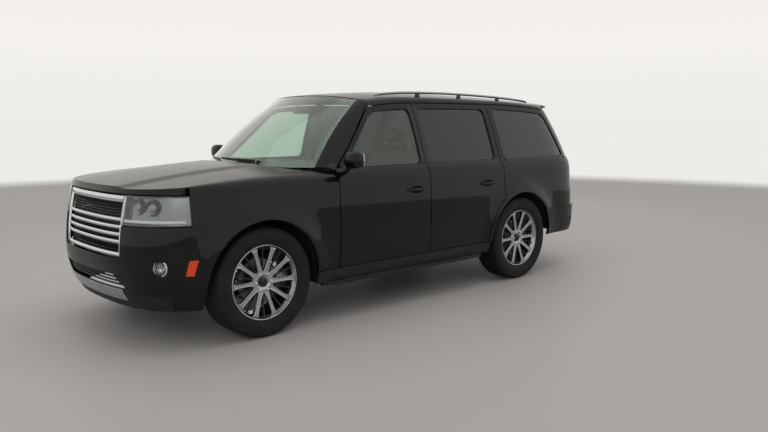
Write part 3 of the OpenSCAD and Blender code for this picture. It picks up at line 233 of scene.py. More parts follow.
def finish(name, slot, dark, pale, grain_mm, bump, stretch=(1, 1, 1), pattern="noise", **sockets):
    # A surface whose colour drifts between two values and whose relief follows the same grain; the slot
    # argument is not used
    mat = bpy.data.materials.new(name)
    mat.use_nodes = True
    tree = mat.node_tree
    shader = tree.nodes["Principled BSDF"]
    place = add(tree, "ShaderNodeTexCoord")
    turn = add(tree, "ShaderNodeMapping", {"Vector": place.outputs["Object"], "Scale": stretch})
    fine = {"Vector": turn.outputs[0], "Scale": 1000 / grain_mm}
    if pattern == "noise":
        grain = add(tree, "ShaderNodeTexNoise", fine | {"Detail": 3, "Roughness": 0.6})
    else:
        grain = add(tree, "ShaderNodeTexVoronoi", fine, feature="SMOOTH_F1")
    drift = add(tree, "ShaderNodeTexNoise", {"Vector": place.outputs["Object"], "Scale": 9, "Detail": 4})
    ramp = add(tree, "ShaderNodeValToRGB", {"Fac": drift.outputs["Fac"]})
    for stop, colour, position in zip(ramp.color_ramp.elements, (dark, pale), (0.4, 0.75)):
        stop.color, stop.position = linear(colour), position
    relief = add(tree, "ShaderNodeBump",
                 {"Height": grain.outputs[0], "Strength": bump, "Distance": grain_mm / 4000})
    sockets |= {"Base Color": ramp.outputs["Color"], "Normal": relief.outputs["Normal"]}
    plug(tree, shader, sockets)
    return mat


# Two-pack paint, sprayed and polished: near-black, with a faint orange peel under a mirror-like coat
paint = finish("gloss_black_clear_coat", "paint_black", "#050607", "#090A0C", 9, 0.02, Roughness=0.4,
               Coat_Weight=0.58, Coat_Roughness=0.02, Specular_IOR_Level=0.05)


def solid(name, part, mirror=False):
    # An object at the origin from millimetre points, mirrored to the right side if asked
    k = -1 if mirror else 1
    mesh = bpy.data.meshes.new(name)
    mesh.from_pydata([(x / 1000, k * y / 1000, z / 1000) for x, y, z in part[0]], [],
                     [tuple(f)[::-1] if mirror else f for f in part[1]])
    obj = bpy.data.objects.new(name, mesh)
    bpy.context.scene.collection.objects.link(obj)
    return obj


def worked_out(obj):
    # The object's mesh with its modifiers applied
    bpy.context.view_layer.update()
    return bpy.data.meshes.new_from_object(obj.evaluated_get(bpy.context.evaluated_depsgraph_get()))


def weld(mesh, gap, slivers=False):
    merged = bmesh.new()
    merged.from_mesh(mesh)
    bmesh.ops.remove_doubles(merged, verts=merged.verts, dist=gap)
    if slivers:
        bmesh.ops.dissolve_degenerate(merged, edges=merged.edges, dist=gap)
    merged.to_mesh(mesh)
    merged.free()


def fitted(obj, mat, body, node, angle):
    # Shades a piece smooth except at edges sharper than angle, and ties it to its body
    obj.data.shade_smooth()
    obj.data.set_sharp_from_angle(angle=math.radians(angle))
    if not obj.data.materials:
        obj.data.materials.append(mat)
    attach(obj, body)
    if node:
        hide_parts(node)
    return obj


def piece(name, part, mat, body="body", slot=None, node=None, bevel=0, angle=35, mirror=False, holes=()):
    # A piece of the vehicle, with closed shapes cut out of it and then its edges bevelled. Finer
    # facets than the CAD's would bulge past its box by under a millimetre, so they stop at it.
    (rear_end, _, _), (front_end, _, top) = cad_box
    inside = [(min(max(x, rear_end * 1000), front_end * 1000), y, min(z, top * 1000)) for x, y,
              z in part[0]]
    obj = solid(name, (inside, part[1]), mirror)
    weld(obj.data, 1e-5)
    for shape in holes:
        tool = solid("cutter", shape, mirror)
        hole = obj.modifiers.new("hole", "BOOLEAN")
        hole.object, hole.operation, hole.solver = tool, "DIFFERENCE", "EXACT"
        obj.data = worked_out(obj)
        obj.data.name = name
        obj.modifiers.clear()
        bpy.data.objects.remove(tool)
        weld(obj.data, 2e-5, True)
    if bevel:
        edge = obj.modifiers.new("edge", "BEVEL")
        edge.width, edge.segments, edge.limit_method = bevel / 1000, 2, "ANGLE"
        edge.angle_limit, edge.harden_normals = math.radians(50), True
    return fitted(obj, mat, body, node, angle)


def pair(name, part, mat, body="body", node="", make=piece, **more):
    # A piece on the left and its mirror image on the right, {} standing for the side; a node that
    # holds both sides is replaced once
    for mirror, label in BOTH:
        names = node.format(label) if "{}" in node or not mirror else ""
        make(name.format(label), part, mat, body=body.format(label), node=names, mirror=mirror, **more)


def shell(p, q, mask=None):
    # Closed shell between an outer grid p and an inner grid q of points. Turning from the first
    # index to the second by the right-hand rule points outwards; unmasked cells are left open.
    n, m = len(p) - 1, len(p[0]) - 1
    on = mask or (lambda i, j: True)
    verts = [v for row in p for v in row] + [v for row in q for v in row]
    k = (n + 1) * (m + 1)
    there = {(i, j) for i in range(n) for j in range(m) if on(i, j)}
    faces = []
    for i, j in there:
        a, b, c, d = i * (m + 1) + j, i * (m + 1) + j + 1, (i + 1) * (m + 1) + j + 1, (i + 1) * (m + 1) + j
        faces += [(a, d, c, b), (k + a, k + b, k + c, k + d)]
        for e, f, near in ((a, b, (i - 1, j)), (b, c, (i, j + 1)), (c, d, (i + 1, j)), (d, a, (i, j - 1))):
            if near not in there:
                faces.append((e, f, k + f, k + e))
    used = sorted({v for f in faces for v in f})
    at = {v: r for r, v in enumerate(used)}
    return [verts[v] for v in used], [tuple(at[v] for v in f) for f in sorted(faces)]


def moved(grid, dx=0, dy=0, dz=0):
    return [[(v[0] + dx, v[1] + dy, v[2] + dz) for v in row] for row in grid]


ARCH_START = math.degrees(math.asin((SILL + GAP - TYRE_R) / ARCH_R))
SEAM_LOW = (AXLE_F + ARCH_R * math.cos(math.radians(45)), TYRE_R + ARCH_R * math.sin(math.radians(45)))
SEAM_HIGH = (LAMP_BACK - SEAM, FASCIA + SEAM)


def fender_base(k):
    if k <= 3:
        return (lerp(DOOR_F + GAP, AXLE_F - ARCH_R * math.cos(math.radians(ARCH_START)), k / 3), SILL + GAP)
    if k <= 14:
        a = math.radians(lerp(180 - ARCH_START, 45, (k - 3) / 11))
        return (AXLE_F + ARCH_R * math.cos(a), TYRE_R + ARCH_R * math.sin(a))
    return tuple(lerp(SEAM_LOW[i], SEAM_HIGH[i], (k - 14) / 3) for i in (0, 1))


def fender_crest(k):
    if k <= 3:
        return lerp(DOOR_F + GAP, DOOR_F + GAP + 130, k / 3)
    if k <= 14:
        return lerp(DOOR_F + GAP + 130, LAMP_BACK - 150, (k - 3) / 11)
    return lerp(LAMP_BACK - 150, LAMP_BACK - SEAM, (k - 14) / 3)


fender_p, fender_q = [], []
for k in spread(17, 0, 85):
    (bx, bz), x = fender_base(k), fender_crest(k)
    yt = hood_edge(x) + GAP
    zt, ys = hood_z(x, yt), side(x, SHOULDER)
    row = [(side_pt(lerp(bx, x, v), lerp(bz, SHOULDER, v)), 0) for v in spread(0, 1, 30)]
    row += [((x, lerp(yt, ys, math.cos(math.radians(a))), lerp(SHOULDER, zt, math.sin(math.radians(a)))), a)
            for a in spread(5, 90, 17)]
    fender_p.append([v for v, a in row])
    fender_q.append([(v[0], v[1] - PANEL * math.cos(math.radians(a)),
                      v[2] - PANEL * math.sin(math.radians(a))) for v, a in row])
fender = shell(fender_p, fender_q)
pair("fender_{}", fender, paint, node="front_fenders", bevel=2.5)


# ---- Hood ----
# A large flat steel lid with a raised centre, folded down over the grille at its leading edge, on
# two hinges at the rear corners. Painted with the body; its inner frame is the underside here.
HOOD_T = 28


def hood_pt(s, u):
    y0, y1 = u * COWL_Y, u * HOOD_TIP_Y
    x0, xe = cowl_x(y0), nose_x(y1, HOOD_NOSE - 6)
    x1 = nose_x(y1, hood_z(xe, y1))
    x, y = lerp(x0, x1, s), lerp(y0, y1, s)
    return (x, y, hood_z(x, y))


def across(n):
    return [math.sin(math.pi / 2 * k / n) * 0.5 + 0.5 * k / n for k in range(-n, n + 1)]


hood_p, hood_q = [], []
for v in (1, 0.8, 0.6, 0.4, 0.2):
    row = []
    for u in across(28):
        e = hood_pt(1, -u)
        z = lerp(e[2], LAMP_TOP + GAP, v)
        row.append((nose_x(e[1], z), e[1], z))
    hood_p.append(row)
    hood_q.append([(x - HOOD_T, y, z - HOOD_T * (1 - v)) for x, y, z in row])
for s in spread(1, 0, 60):
    row = [hood_pt(s, -u) for u in across(28)]
    hood_p.append(row)
    hood_q.append([(x - (HOOD_T if s == 1 else 0), y, z - HOOD_T) for x, y, z in row])
piece("hood_panel", shell(hood_p, hood_q), paint, "hood", node="hood", bevel=2.5)


# ---- Grille, radiator and its surround ----
# A moulded surround with chrome-plated bars across the radiator: a deep bar in line with the
# headlamps and thinner slats below it, over a black mesh.
def bright(name, slot, colour, rough, grain_mm, bump):
    return finish(name, slot, colour, colour, grain_mm, bump, Metallic=1, Roughness=rough)


# Chrome on moulded ABS: a mirror finish with a very slight waviness
chrome = bright("chrome_plated_abs", "chrome", "#D9DBDD", 0.06, 40, 0.015)
# Mass-coloured polypropylene, grained in the mould, so it reads as soft dark grey
moulded = finish("grained_black_polypropylene", "trim_black", "#141415", "#1B1B1D", 1.6, 0.35,
                 pattern="pebble", Roughness=0.55, Specular_IOR_Level=0.4)
# High-gloss black ABS, used round lamps and on pillars
piano = finish("gloss_black_abs", "trim_black", "#08080A", "#0C0C0E", 20, 0.01, Roughness=0.12)


def facing_out(verts, faces):
    # Turns a closed skin the right way round, by the sign of its volume
    v = np.array(verts)
    total = 0
    for f in faces:
        for k in range(1, len(f) - 1):
            total += np.dot(v[f[0]], np.cross(v[f[k]], v[f[k + 1]]))
    return (verts, faces) if total > 0 else (verts, [tuple(reversed(f)) for f in faces])


def loft(rings):
    # Closed skin over rings with the same number of points
    n, last = len(rings[0]), (len(rings) - 1) * len(rings[0])
    faces = [(k + i, k + (i + 1) % n, k + (i + 1) % n + n, k + i + n) for k in range(0, last, n)
             for i in range(n)]
    faces += [tuple(range(n - 1, -1, -1)), tuple(last + i for i in range(n))]
    return facing_out([v for r in rings for v in r], faces)


def rod(path, radius, sides=12, closed=False, flat=1, up=(0, 0, 1)):
    # A round or flattened tube through the points of a path, radius along its own up direction
    pts = [np.array(v, float) for v in path]
    n = len(pts)
    verts, faces = [], []
    radii = radius if isinstance(radius, (list, tuple)) else [radius] * n
    for k, v in enumerate(pts):
        a, b = pts[(k - 1) % n if closed else max(k - 1, 0)], pts[(k + 1) % n if closed else min(k + 1,
                                                                                                 n - 1)]
        t = (b - a) / max(np.linalg.norm(b - a), 1e-6)
        w = np.cross(t, np.array(up, float))
        w /= max(np.linalg.norm(w), 1e-6)
        h = np.cross(w, t)
        for i in range(sides):
            g = 2 * math.pi * i / sides
            verts.append(tuple(v + radii[k] * (math.cos(g) * w * flat + math.sin(g) * h)))
    for k in range(n if closed else n - 1):
        for i in range(sides):
            a, b = k * sides + i, k * sides + (i + 1) % sides
            c, d = (k + 1) % n * sides + (i + 1) % sides, (k + 1) % n * sides + i
            faces.append((a, b, c, d))
    if not closed:
        faces.append(tuple(range(sides - 1, -1, -1)))
        faces.append(tuple((n - 1) * sides + i for i in range(sides)))
    return facing_out(verts, faces)


def joined(*parts):
    verts, faces = [], []
    for v, f in parts:
        k = len(verts)
        verts += v
        faces += [tuple(i + k for i in g) for g in f]
    return verts, faces


def block(x0, x1, y0, y1, z0, z1):
    v = [(x, y, z) for x in (x0, x1) for y in (y0, y1) for z in (z0, z1)]
    return v, [(0, 1, 3, 2), (4, 6, 7, 5), (0, 4, 5, 1), (2, 3, 7, 6), (0, 2, 6, 4), (1, 5, 7, 3)]


def grille_pt(y, z, inset):
    return (nose_x(y, z) - inset, y, z)


grille_ys = spread(-GRILLE_Y + 14, GRILLE_Y - 14, 40)
bars = []
for z, h in ((LAMP_TOP - 30, 28), (LAMP_LOW + 30, 13), (LAMP_LOW - 22, 13), (LAMP_LOW - 74, 13),
             (LAMP_LOW - 126, 13), (GRILLE_LOW + 22, 17)):
    bars.append(rod([grille_pt(y, z, 26) for y in grille_ys], h, 16, flat=0.62))
for s in (-1, 1):
    bars.append(rod([grille_pt(s * (GRILLE_Y - 14), z, 26) for z in spread(GRILLE_LOW + 16, LAMP_TOP - 14,
                                                                           24)], 13, 12, up=(0, 1, 0)))
piece("grille_bars", joined(*bars), chrome, node="grille")
# Wire mesh close behind the slats, woven of crossing strands
strands = [rod([grille_pt(y, z, 50) for y in spread(-GRILLE_Y + 14, GRILLE_Y - 14, 16)], 2.6, 4)
           for z in np.arange(GRILLE_LOW + 12, LAMP_TOP - 6, 19)]
strands += [rod([grille_pt(y, z, 50) for z in spread(GRILLE_LOW + 6, LAMP_TOP - 6, 8)], 2.6, 4,
                up=(0, 1, 0)) for y in np.arange(-GRILLE_Y + 20, GRILLE_Y - 10, 24)]
piece("grille_mesh", joined(*strands), piano)
for s in (-1, 1):
    for z in (GRILLE_LOW + 40, LAMP_TOP - 50):
        piece(f"grille_leg_{'r' if s < 0 else 'l'}{int(z)}", block(2320, nose_x(GRILLE_Y, z) - 30,
                                                                   s * 430 - 15, s * 430 + 15, z - 10,
                                                                   z + 10), moulded, bevel=3)


# ---- Headlamps and fog lamps ----
# Each headlamp is a clear polycarbonate cover over a bright reflector housing with two projectors
# and a light strip under them; each fog lamp is a round glass lens in its own bucket.
def cover_glass(name, slot, colour):
    # Clear or tinted moulding: the shader's own transmission, with a trace of surface waviness
    return finish(name, slot, colour, colour, 60, 0.01, Roughness=0, Transmission_Weight=1, IOR=1.49)


lens = cover_glass("clear_polycarbonate", "lamp_clear", "#F4F6F7")
bulb_glass = cover_glass("lamp_glass", "lamp_clear", "#F8F8F6")
reflector = bright("aluminised_reflector", "lamp_clear", "#85888B", 0.22, 25, 0.05)
strip = finish("light_guide_acrylic", "lamp_clear", "#E9EDF0", "#F4F6F8", 12, 0.1, Roughness=0.25,
               Specular_IOR_Level=0.6)


def angle_x(x, z, nose=True):
    if nose:
        return math.acos(clamp((x - NOSE_0) / nose_a(z)) ** (NOSE_PX / 2))
    return math.acos(clamp((TAIL_0 - x) / tail_a(z)) ** (TAIL_PX / 2))


def angle_y(y, z, nose=True):
    return math.asin(clamp(y / half_w(z)) ** ((NOSE_PY if nose else TAIL_PY) / 2))


def nose_pt(f, z):
    x = NOSE_0 + nose_a(z) * max(0, math.cos(f)) ** (2 / NOSE_PX)
    y = half_w(z) * math.sin(f) ** (2 / NOSE_PY)
    return (x, y + flare(x, z) * smooth((math.degrees(f) - 20) / 40), z)


def tail_pt(f, z):
    x = TAIL_0 - tail_a(z) * max(0, math.cos(f)) ** (2 / TAIL_PX)
    y = half_w(z) * math.sin(f) ** (2 / TAIL_PY)
    return (x, y + flare(x, z) * smooth((math.degrees(f) - 20) / 40), z)


def turned(t, s):
    k = smooth(t)
    r = math.hypot(1 - k, k)
    return (s * (1 - k) / r, -k / r, 0)


def shifted(v, d, amount):
    return tuple(v[i] + amount * d[i] for i in range(3))


def lamp_grid(cols, rows, depth, z0=LAMP_LOW, z1=LAMP_TOP, a=0.0, b=1.0):
    grid = []
    for t in spread(a, b, cols):
        row = []
        for z in spread(z0, z1, rows):
            f = lerp(angle_y(GRILLE_Y + 6, z), angle_x(LAMP_BACK, z), t)
            row.append(shifted(nose_pt(f, z), turned(t, -1), depth if isinstance(depth,
                                                                                 (int, float)) else depth(t)))
        grid.append(row)
    return grid


def lathe(profile, place, turns=48):
    # A turned part from (radius, height) points, upwards on its axis, put in place by a matrix
    verts, faces = [], []
    n = len(profile)
    for k in range(turns):
        g = 2 * math.pi * k / turns
        for r, h in profile:
            verts.append(tuple(place @ Vector((r * math.cos(g), r * math.sin(g), h))))
    for k in range(turns):
        for i in range(n - 1):
            a, b = k * n + i, k * n + i + 1
            c, d = (k + 1) % turns * n + i + 1, (k + 1) % turns * n + i
            if max(profile[i][0], profile[i + 1][0]) < 1e-6:
                continue
            if profile[i][0] < 1e-6:
                faces.append((a, c, b))
            elif profile[i + 1][0] < 1e-6:
                faces.append((a, d, b))
            else:
                faces.append((a, d, c, b))
    return facing_out(verts, faces)


def aimed(at, towards):
    # Matrix that puts a turned part's axis along a direction
    return Matrix.Translation(at) @ Vector(towards).to_track_quat("Z", "Y").to_matrix().to_4x4()


def placed(at, points):
    return [tuple(at @ Vector(v)) for v in points]


cover = shell(lamp_grid(36, 12, 0), lamp_grid(36, 12, 4))
bucket = shell(lamp_grid(24, 6, lambda t: lerp(62, 14, t)), lamp_grid(24, 6, lambda t: lerp(104, 22, t)))
brow = joined(*[shell(lamp_grid(36, 1, 5, z, z + 9), lamp_grid(36, 1, lambda t: lerp(100, 22, t), z, z + 9))
                for z in (LAMP_TOP - 9, LAMP_LOW)])
guide = shell(lamp_grid(30, 3, 9, LAMP_LOW + 20, LAMP_LOW + 38, 0.04, 0.94),
              lamp_grid(30, 3, 16, LAMP_LOW + 20, LAMP_LOW + 38, 0.04, 0.94))
eyes, eye_rings = [], []
for t in (0.16, 0.48):
    z = LAMP_LOW + 122
    f = lerp(angle_y(GRILLE_Y + 6, z), angle_x(LAMP_BACK, z), t)
    at = shifted(nose_pt(f, z), turned(t, -1), lerp(78, 22, t))
    out = (-turned(t * 0.6, -1)[0], -turned(t * 0.6, -1)[1], 0)
    eyes.append(lathe([(0, 34), (16, 32), (30, 24), (38, 11), (40, 0), (0, 0)], aimed(at, out), 32))
    eye_rings.append(lathe([(41, 0), (41, 16), (50, 26), (60, 24), (60, 0), (41, 0)], aimed(at, out), 32))
FOG_Y, FOG_Z, FOG_TURN = 800, 600, math.radians(28)
fog_at = Vector((nose_x(FOG_Y, FOG_Z), FOG_Y, FOG_Z))
fog_out = (math.cos(FOG_TURN), math.sin(FOG_TURN), 0)
fog = aimed(fog_at - 15 * Vector(fog_out), fog_out)
pair("headlamp_cover_{}", cover, lens, node="front_lamps")
pair("headlamp_reflector_{}", bucket, reflector)
pair("headlamp_housing_{}", brow, piano)
pair("headlamp_projectors_{}", joined(*eyes), bulb_glass)
pair("headlamp_bezels_{}", joined(*eye_rings), piano)
pair("headlamp_light_strip_{}", guide, strip)
pair("fog_lamp_lens_{}", lathe([(0, 6), (24, 4), (44, -4), (48, -8), (48, -11), (0, -11)], fog), bulb_glass)
pair("fog_lamp_bowl_{}", lathe([(0, -42), (24, -38), (42, -22), (46, -12), (49, -12), (49, -46), (0, -58)],
                               fog), reflector)
pair("fog_lamp_bezel_{}", lathe([(48.5, -14), (48.5, 2), (51, 6), (56, 6), (60, 2), (60, -8), (50, -14),
                                 (48.5, -14)], fog), chrome)


# ---- Front bumper ----
# A moulded cover painted with the body over a steel beam: open behind the grille, with a slot below
# it, a brushed skid plate under the slot and a side marker lamp on each corner.
def bumper_end_x(z):
    if z <= TYRE_R:
        return AXLE_F + ARCH_R
    if z < SEAM_LOW[1]:
        return AXLE_F + math.sqrt(ARCH_R ** 2 - (z - TYRE_R) ** 2)
    return lerp(SEAM_LOW[0], SEAM_HIGH[0], (z - SEAM_LOW[1]) / (SEAM_HIGH[1] - SEAM_LOW[1])) + SEAM


def corner_in(f, s):
    k = smooth((math.degrees(f) - 8) / 40)
    r = math.hypot(1 - k, k)
    return (-s * (1 - k) / r, -k / r, 0)


def bumper_f(k, z):
    # 0 at the centre, 1 at the grille's edge, 2 at the wheel arch
    if k <= 1:
        return angle_y((GRILLE_Y + 12) * k, z)
    return lerp(angle_y(GRILLE_Y + 12, z), angle_x(bumper_end_x(z), z), k - 1)


def nose_patch(ks, zs, depth):
    rows = []
    for k in ks:
        row = []
        for z in zs:
            f = bumper_f(abs(k), z)
            x, y, h = shifted(nose_pt(f, z), corner_in(f, 1), depth)
            row.append((x, -y if k < 0 else y, h))
        rows.append(row)
    return rows


def nose_plate(ks, zs, out, into):
    return shell(nose_patch(ks, zs, out), nose_patch(ks, zs, into))


bumper_z = steps((LOW, 3), (LOW + 70, 4), (430, 6), (530, 4), (GRILLE_LOW, 14), FASCIA)
low_slot, grille_row = (bumper_z.index(430), bumper_z.index(530)), bumper_z.index(GRILLE_LOW)
bumper_k = [-2 + k / 30 for k in range(121)]


def bumper_cell(i, j):
    c = abs((bumper_k[i] + bumper_k[i + 1]) / 2)
    return not (c < 1 and j >= grille_row) and not (c < 1 and low_slot[0] <= j < low_slot[1])


fog_bores = [lathe([(0, -90), (49.5, -90), (49.5, 60), (0, 60)],
                   aimed((fog_at.x, s * fog_at.y, fog_at.z), (fog_out[0], s * fog_out[1], 0)))
             for s in (1, -1)]
piece("front_bumper_cover", shell(nose_patch(bumper_k, bumper_z, 0), nose_patch(bumper_k, bumper_z, 14),
                                  bumper_cell), paint, node="front_bumper", bevel=3, holes=fog_bores)
piece("front_valance", nose_plate(spread(-1.62, 1.62, 90), spread(LOW + 2, 392, 6), -3, 4), moulded,
      bevel=2)
# Anodised skid plate, brushed across
skid_metal = finish("brushed_anodised_aluminium", "rail_silver", "#A9ABAD", "#BFC1C3", 1.2, 0.12,
                    stretch=(0.02, 1, 1), Metallic=1.0, Roughness=0.3)
piece("front_skid_plate", nose_plate(spread(-0.94, 0.94, 50), spread(LOW + 60, 424, 5), -8, 3), skid_metal,
      bevel=4)
slot_bars = [rod([shifted(nose_pt(angle_y(abs(y), z), z), (-1, 0, 0), 24)[:1] + (y, z)
                  for y in spread(-GRILLE_Y, GRILLE_Y, 40)], 7, 10, flat=0.7) for z in (455, 480, 505)]
piece("front_intake_bars", joined(*slot_bars), moulded)
pair("front_bracket_{}", block(AXLE_F + 630.5, nose_x(380, 550) - 16, 380, 450, 529, 565), moulded, bevel=3)
# Amber marker lamps: moulded acrylic, set in the corners ahead of the wheel arches
amber = finish("amber_acrylic", "lamp_red", "#C8320A", "#E04A10", 8, 0.15, Roughness=0.12,
               Transmission_Weight=0.15, Emission_Color=linear("#D8380C"), Emission_Strength=0.12)
marker = nose_plate(spread(1.80, 1.875, 6), spread(540, 650, 12), -4, 6)
pair("side_marker_{}", marker, amber, bevel=3)


# ---- Windshield, cowl and wipers ----
# Laminated green-tinted glass, bonded to the pillars and the roof, with a black ceramic border
# fired on its edge. The cowl under it is a grained cover with louvres; two wipers park on it.
WIND_N = (0.5, 0, 0.86)
WIND_TOP_Y, WIND_BASE_Y = half_w(EAVE) - 92, COWL_Y - 15


def roof_z(x, y):
    dx = x - DOOR_B + 130
    return (ROOF - (45 * (dx / 800) ** 2 if dx > 0 else 60 * (dx / 2050) ** 2)
            - 55 * (abs(y) / (half_w(EAVE) - 77)) ** 2.6)


def wind_base_x(y):
    return DOOR_F + 420 - 300 * (abs(y) / COWL_Y) ** 2.2


def wind_top_x(y):
    return PILLAR_TOP + 150 - 130 * (abs(y) / (half_w(EAVE) - 77)) ** 2.2


def wind_pt(s, u, proud=0):
    y = u * lerp(WIND_BASE_Y, WIND_TOP_Y, s)
    x0, x1 = wind_base_x(y), wind_top_x(y)
    z0, z1 = RIDGE - 20, roof_z(x1, u * WIND_TOP_Y) - 6
    b = 22 * math.sin(math.pi * s) + proud
    return (lerp(x0, x1, s) + b * WIND_N[0], y, lerp(z0, z1, s) + b * WIND_N[2])


def glazing(name, slot, tint):
    # Thin glass: light passes nearly straight, tinted by its colour, and the face still reflects
    return finish(name, slot, tint, tint, 400, 0, Roughness=0, Transmission_Weight=1, IOR=1.2,
                  Coat_Weight=1, Coat_Roughness=0)


windshield_glass = glazing("green_laminated_glass", "glass_clear", "#D3E8DC")
frit = finish("black_ceramic_frit", "trim_black", "#060607", "#0A0A0B", 15, 0.02, Roughness=0.18)
wind_s, wind_u = spread(0, 1, 32), spread(1, -1, 44)
wind_p = [[wind_pt(s, u) for u in wind_u] for s in wind_s]
wind_q = [[wind_pt(s, u, -5) for u in wind_u] for s in wind_s]
piece("windshield_glass", shell(wind_p, wind_q), windshield_glass, node="windshield")
frit_p = [[wind_pt(s, u, -5.3) for u in wind_u] for s in wind_s]
frit_q = [[wind_pt(s, u, -6.6) for u in wind_u] for s in wind_s]
piece("windshield_border", shell(frit_p, frit_q, lambda i, j: i < 3 or i > 29 or j < 1 or j > 42), frit)
# Interior mirror on its stalk, bonded behind the glass
mirror_face = bright("silvered_mirror", "chrome", "#EDEFF0", 0.02, 80, 0.0)
top = wind_pt(0.9, 0, -14)


def mirror_loop(dx, across, high):
    return [(top[0] - 62 + dx, y, top[2] - 62 + z) for y, z in oval(across, high, 40, 0.5, 0.6)]




piece("interior_mirror_shell", loft([mirror_loop(d, k * 122, k * 32) for d,
                                     k in ((-16, 0.93), (-12, 1), (4, 0.97), (12, 0.75))]), moulded)
piece("interior_mirror_face", loft([mirror_loop(d, 0.93 * 122 * 0.94, 0.93 * 32 * 0.9)
                                    for d in (-16.6, -13)]), mirror_face)
piece("interior_mirror_stalk", rod([(top[0] - 52, 0, top[2] - 50), (top[0] - 30, 0, top[2] - 22),
                                    (top[0], 0, top[2] + 4)], [9, 8, 12], 12, up=(0, 1, 0)), moulded)

LUG_Y = SIDE - 95 - 57 - 65
cowl_p = [[(lerp(wind_base_x(y) + 2, cowl_x(y) - GAP, v), y, hood_z(cowl_x(y), y) - 22
            - 6 * math.sin(math.pi * v)) for y in spread(LUG_Y - 20, -LUG_Y + 20, 60)]
          for v in spread(0, 1, 6)]
piece("cowl_cover", facing_out(*shell(cowl_p, moved(cowl_p, dz=-20))), moulded, node="cowl", bevel=1.5)


def copies_tree(name):
    # Node tree: copies one shape round a circle about an axis or along a step, as plain mesh
    tree = bpy.data.node_groups.new(name, "GeometryNodeTree")
    for label, kind in (("Geometry", "Geometry"), ("Count", "Int"), ("Centre", "Vector"),
                        ("Axis", "Vector"), ("Step", "Vector"), ("Turn", "Float"),
                        ("Material", "Material")):
        tree.interface.new_socket(label, in_out="INPUT", socket_type="NodeSocket" + kind)
    tree.interface.new_socket("Geometry", in_out="OUTPUT", socket_type="NodeSocketGeometry")
    g = add(tree, "NodeGroupInput").outputs
    # One point for each copy; its index gives its share of the turn and of the step
    points = add(tree, "GeometryNodeMeshLine", {"Count": g["Count"], "Offset": (0, 0, 0)}, mode="OFFSET")
    index = add(tree, "GeometryNodeInputIndex").outputs[0]
    share = add(tree, "ShaderNodeMath", {0: index, 1: g["Count"]}, operation="DIVIDE")
    angle = add(tree, "ShaderNodeMath", {0: share.outputs[0], 1: g["Turn"]}, operation="MULTIPLY")
    spin = add(tree, "FunctionNodeAxisAngleToRotation", {"Axis": g["Axis"], "Angle": angle.outputs[0]})
    back = add(tree, "ShaderNodeVectorMath", {0: g["Centre"], "Scale": -1.0}, operation="SCALE")
    centred = add(tree, "GeometryNodeTransform", {"Geometry": g["Geometry"],
                                                  "Translation": back.outputs[0]})
    slide = add(tree, "ShaderNodeVectorMath", {0: g["Step"], "Scale": index}, operation="SCALE")
    at = add(tree, "ShaderNodeVectorMath", {0: g["Centre"], 1: slide.outputs[0]}, operation="ADD")
    place = add(tree, "GeometryNodeSetPosition", {"Geometry": points.outputs[0], "Position": at.outputs[0]})
    copies = add(tree, "GeometryNodeInstanceOnPoints",
                 {"Points": place.outputs[0], "Instance": centred.outputs[0], "Rotation": spin.outputs[0]})
    real = add(tree, "GeometryNodeRealizeInstances", {"Geometry": copies.outputs[0]})
    coat = add(tree, "GeometryNodeSetMaterial", {"Geometry": real.outputs[0], "Material": g["Material"]})
    add(tree, "NodeGroupOutput", {0: coat.outputs[0]})
    return tree


copier = copies_tree("copies_round_or_along")


def repeated(name, part, mat, count, centre, axis=(0, 1, 0), step=(0, 0, 0), turn=2 * math.pi, body="body",
             slot=None, node=None, mirror=False, angle=35):
    # One modelled part, copied round an axis or along a step by the node tree, as one mesh
    source = solid(name + "_source", part, mirror)
    k = -1 if mirror else 1
    mod = source.modifiers.new("copies", "NODES")
    mod.node_group = copier
    values = {"Count": count, "Turn": turn, "Material": mat, "Axis": [axis[0], k * axis[1], axis[2]],
              "Centre": [centre[0] / 1000, k * centre[1] / 1000, centre[2] / 1000],
              "Step": [step[0] / 1000, k * step[1] / 1000, step[2] / 1000]}
    for item in copier.interface.items_tree:
        if item.name in values:
            mod[item.identifier] = values[item.name]
    mesh = worked_out(source)
    mesh.name = name
    bpy.data.objects.remove(source)
    obj = bpy.data.objects.new(name, mesh)
    bpy.context.scene.collection.objects.link(obj)
    return fitted(obj, mat, body, node, angle)


wiper_rubber = finish("wiper_rubber", "trim_black", "#0B0B0B", "#111111", 3, 0.1, Roughness=0.7)
for name, y0, y1 in (("left", 330, -250), ("right", -260, -720)):
    line = []
    for t in spread(0, 1, 24):
        y = lerp(y0 + 40, y1, t)
        x, _, z = wind_pt(0.045 + 0.02 * t, y / WIND_BASE_Y, 7)
        line.append((x, y, z))
    arm = [(cowl_x(y0) - 40, y0 + 60, hood_z(cowl_x(y0), y0) - 14)] + [
        (line[k][0] + 6, line[k][1], line[k][2] + 7) for k in (2, 6, 10, 13)]
    piece(f"wiper_arm_{name}", rod(arm, [8, 8, 7, 6, 5], 10), piano)
    piece(f"wiper_blade_{name}", rod(line, [3] + [6] * 23 + [3], 8, flat=0.6), wiper_rubber)


# ---- Roof and its rails ----
# The roof skin is a steel pressing over bows, with a cloth headliner under it; the rear edge carries
# the two hinge arms of the tailgate. Anodised rails stand along both sides on three feet.
ROOF_T = 30
roof_side_y = WIND_TOP_Y + 4
roof_front_x = wind_top_x(roof_side_y) - 4


def roof_y(x):
    return side(x, EAVE) - 72


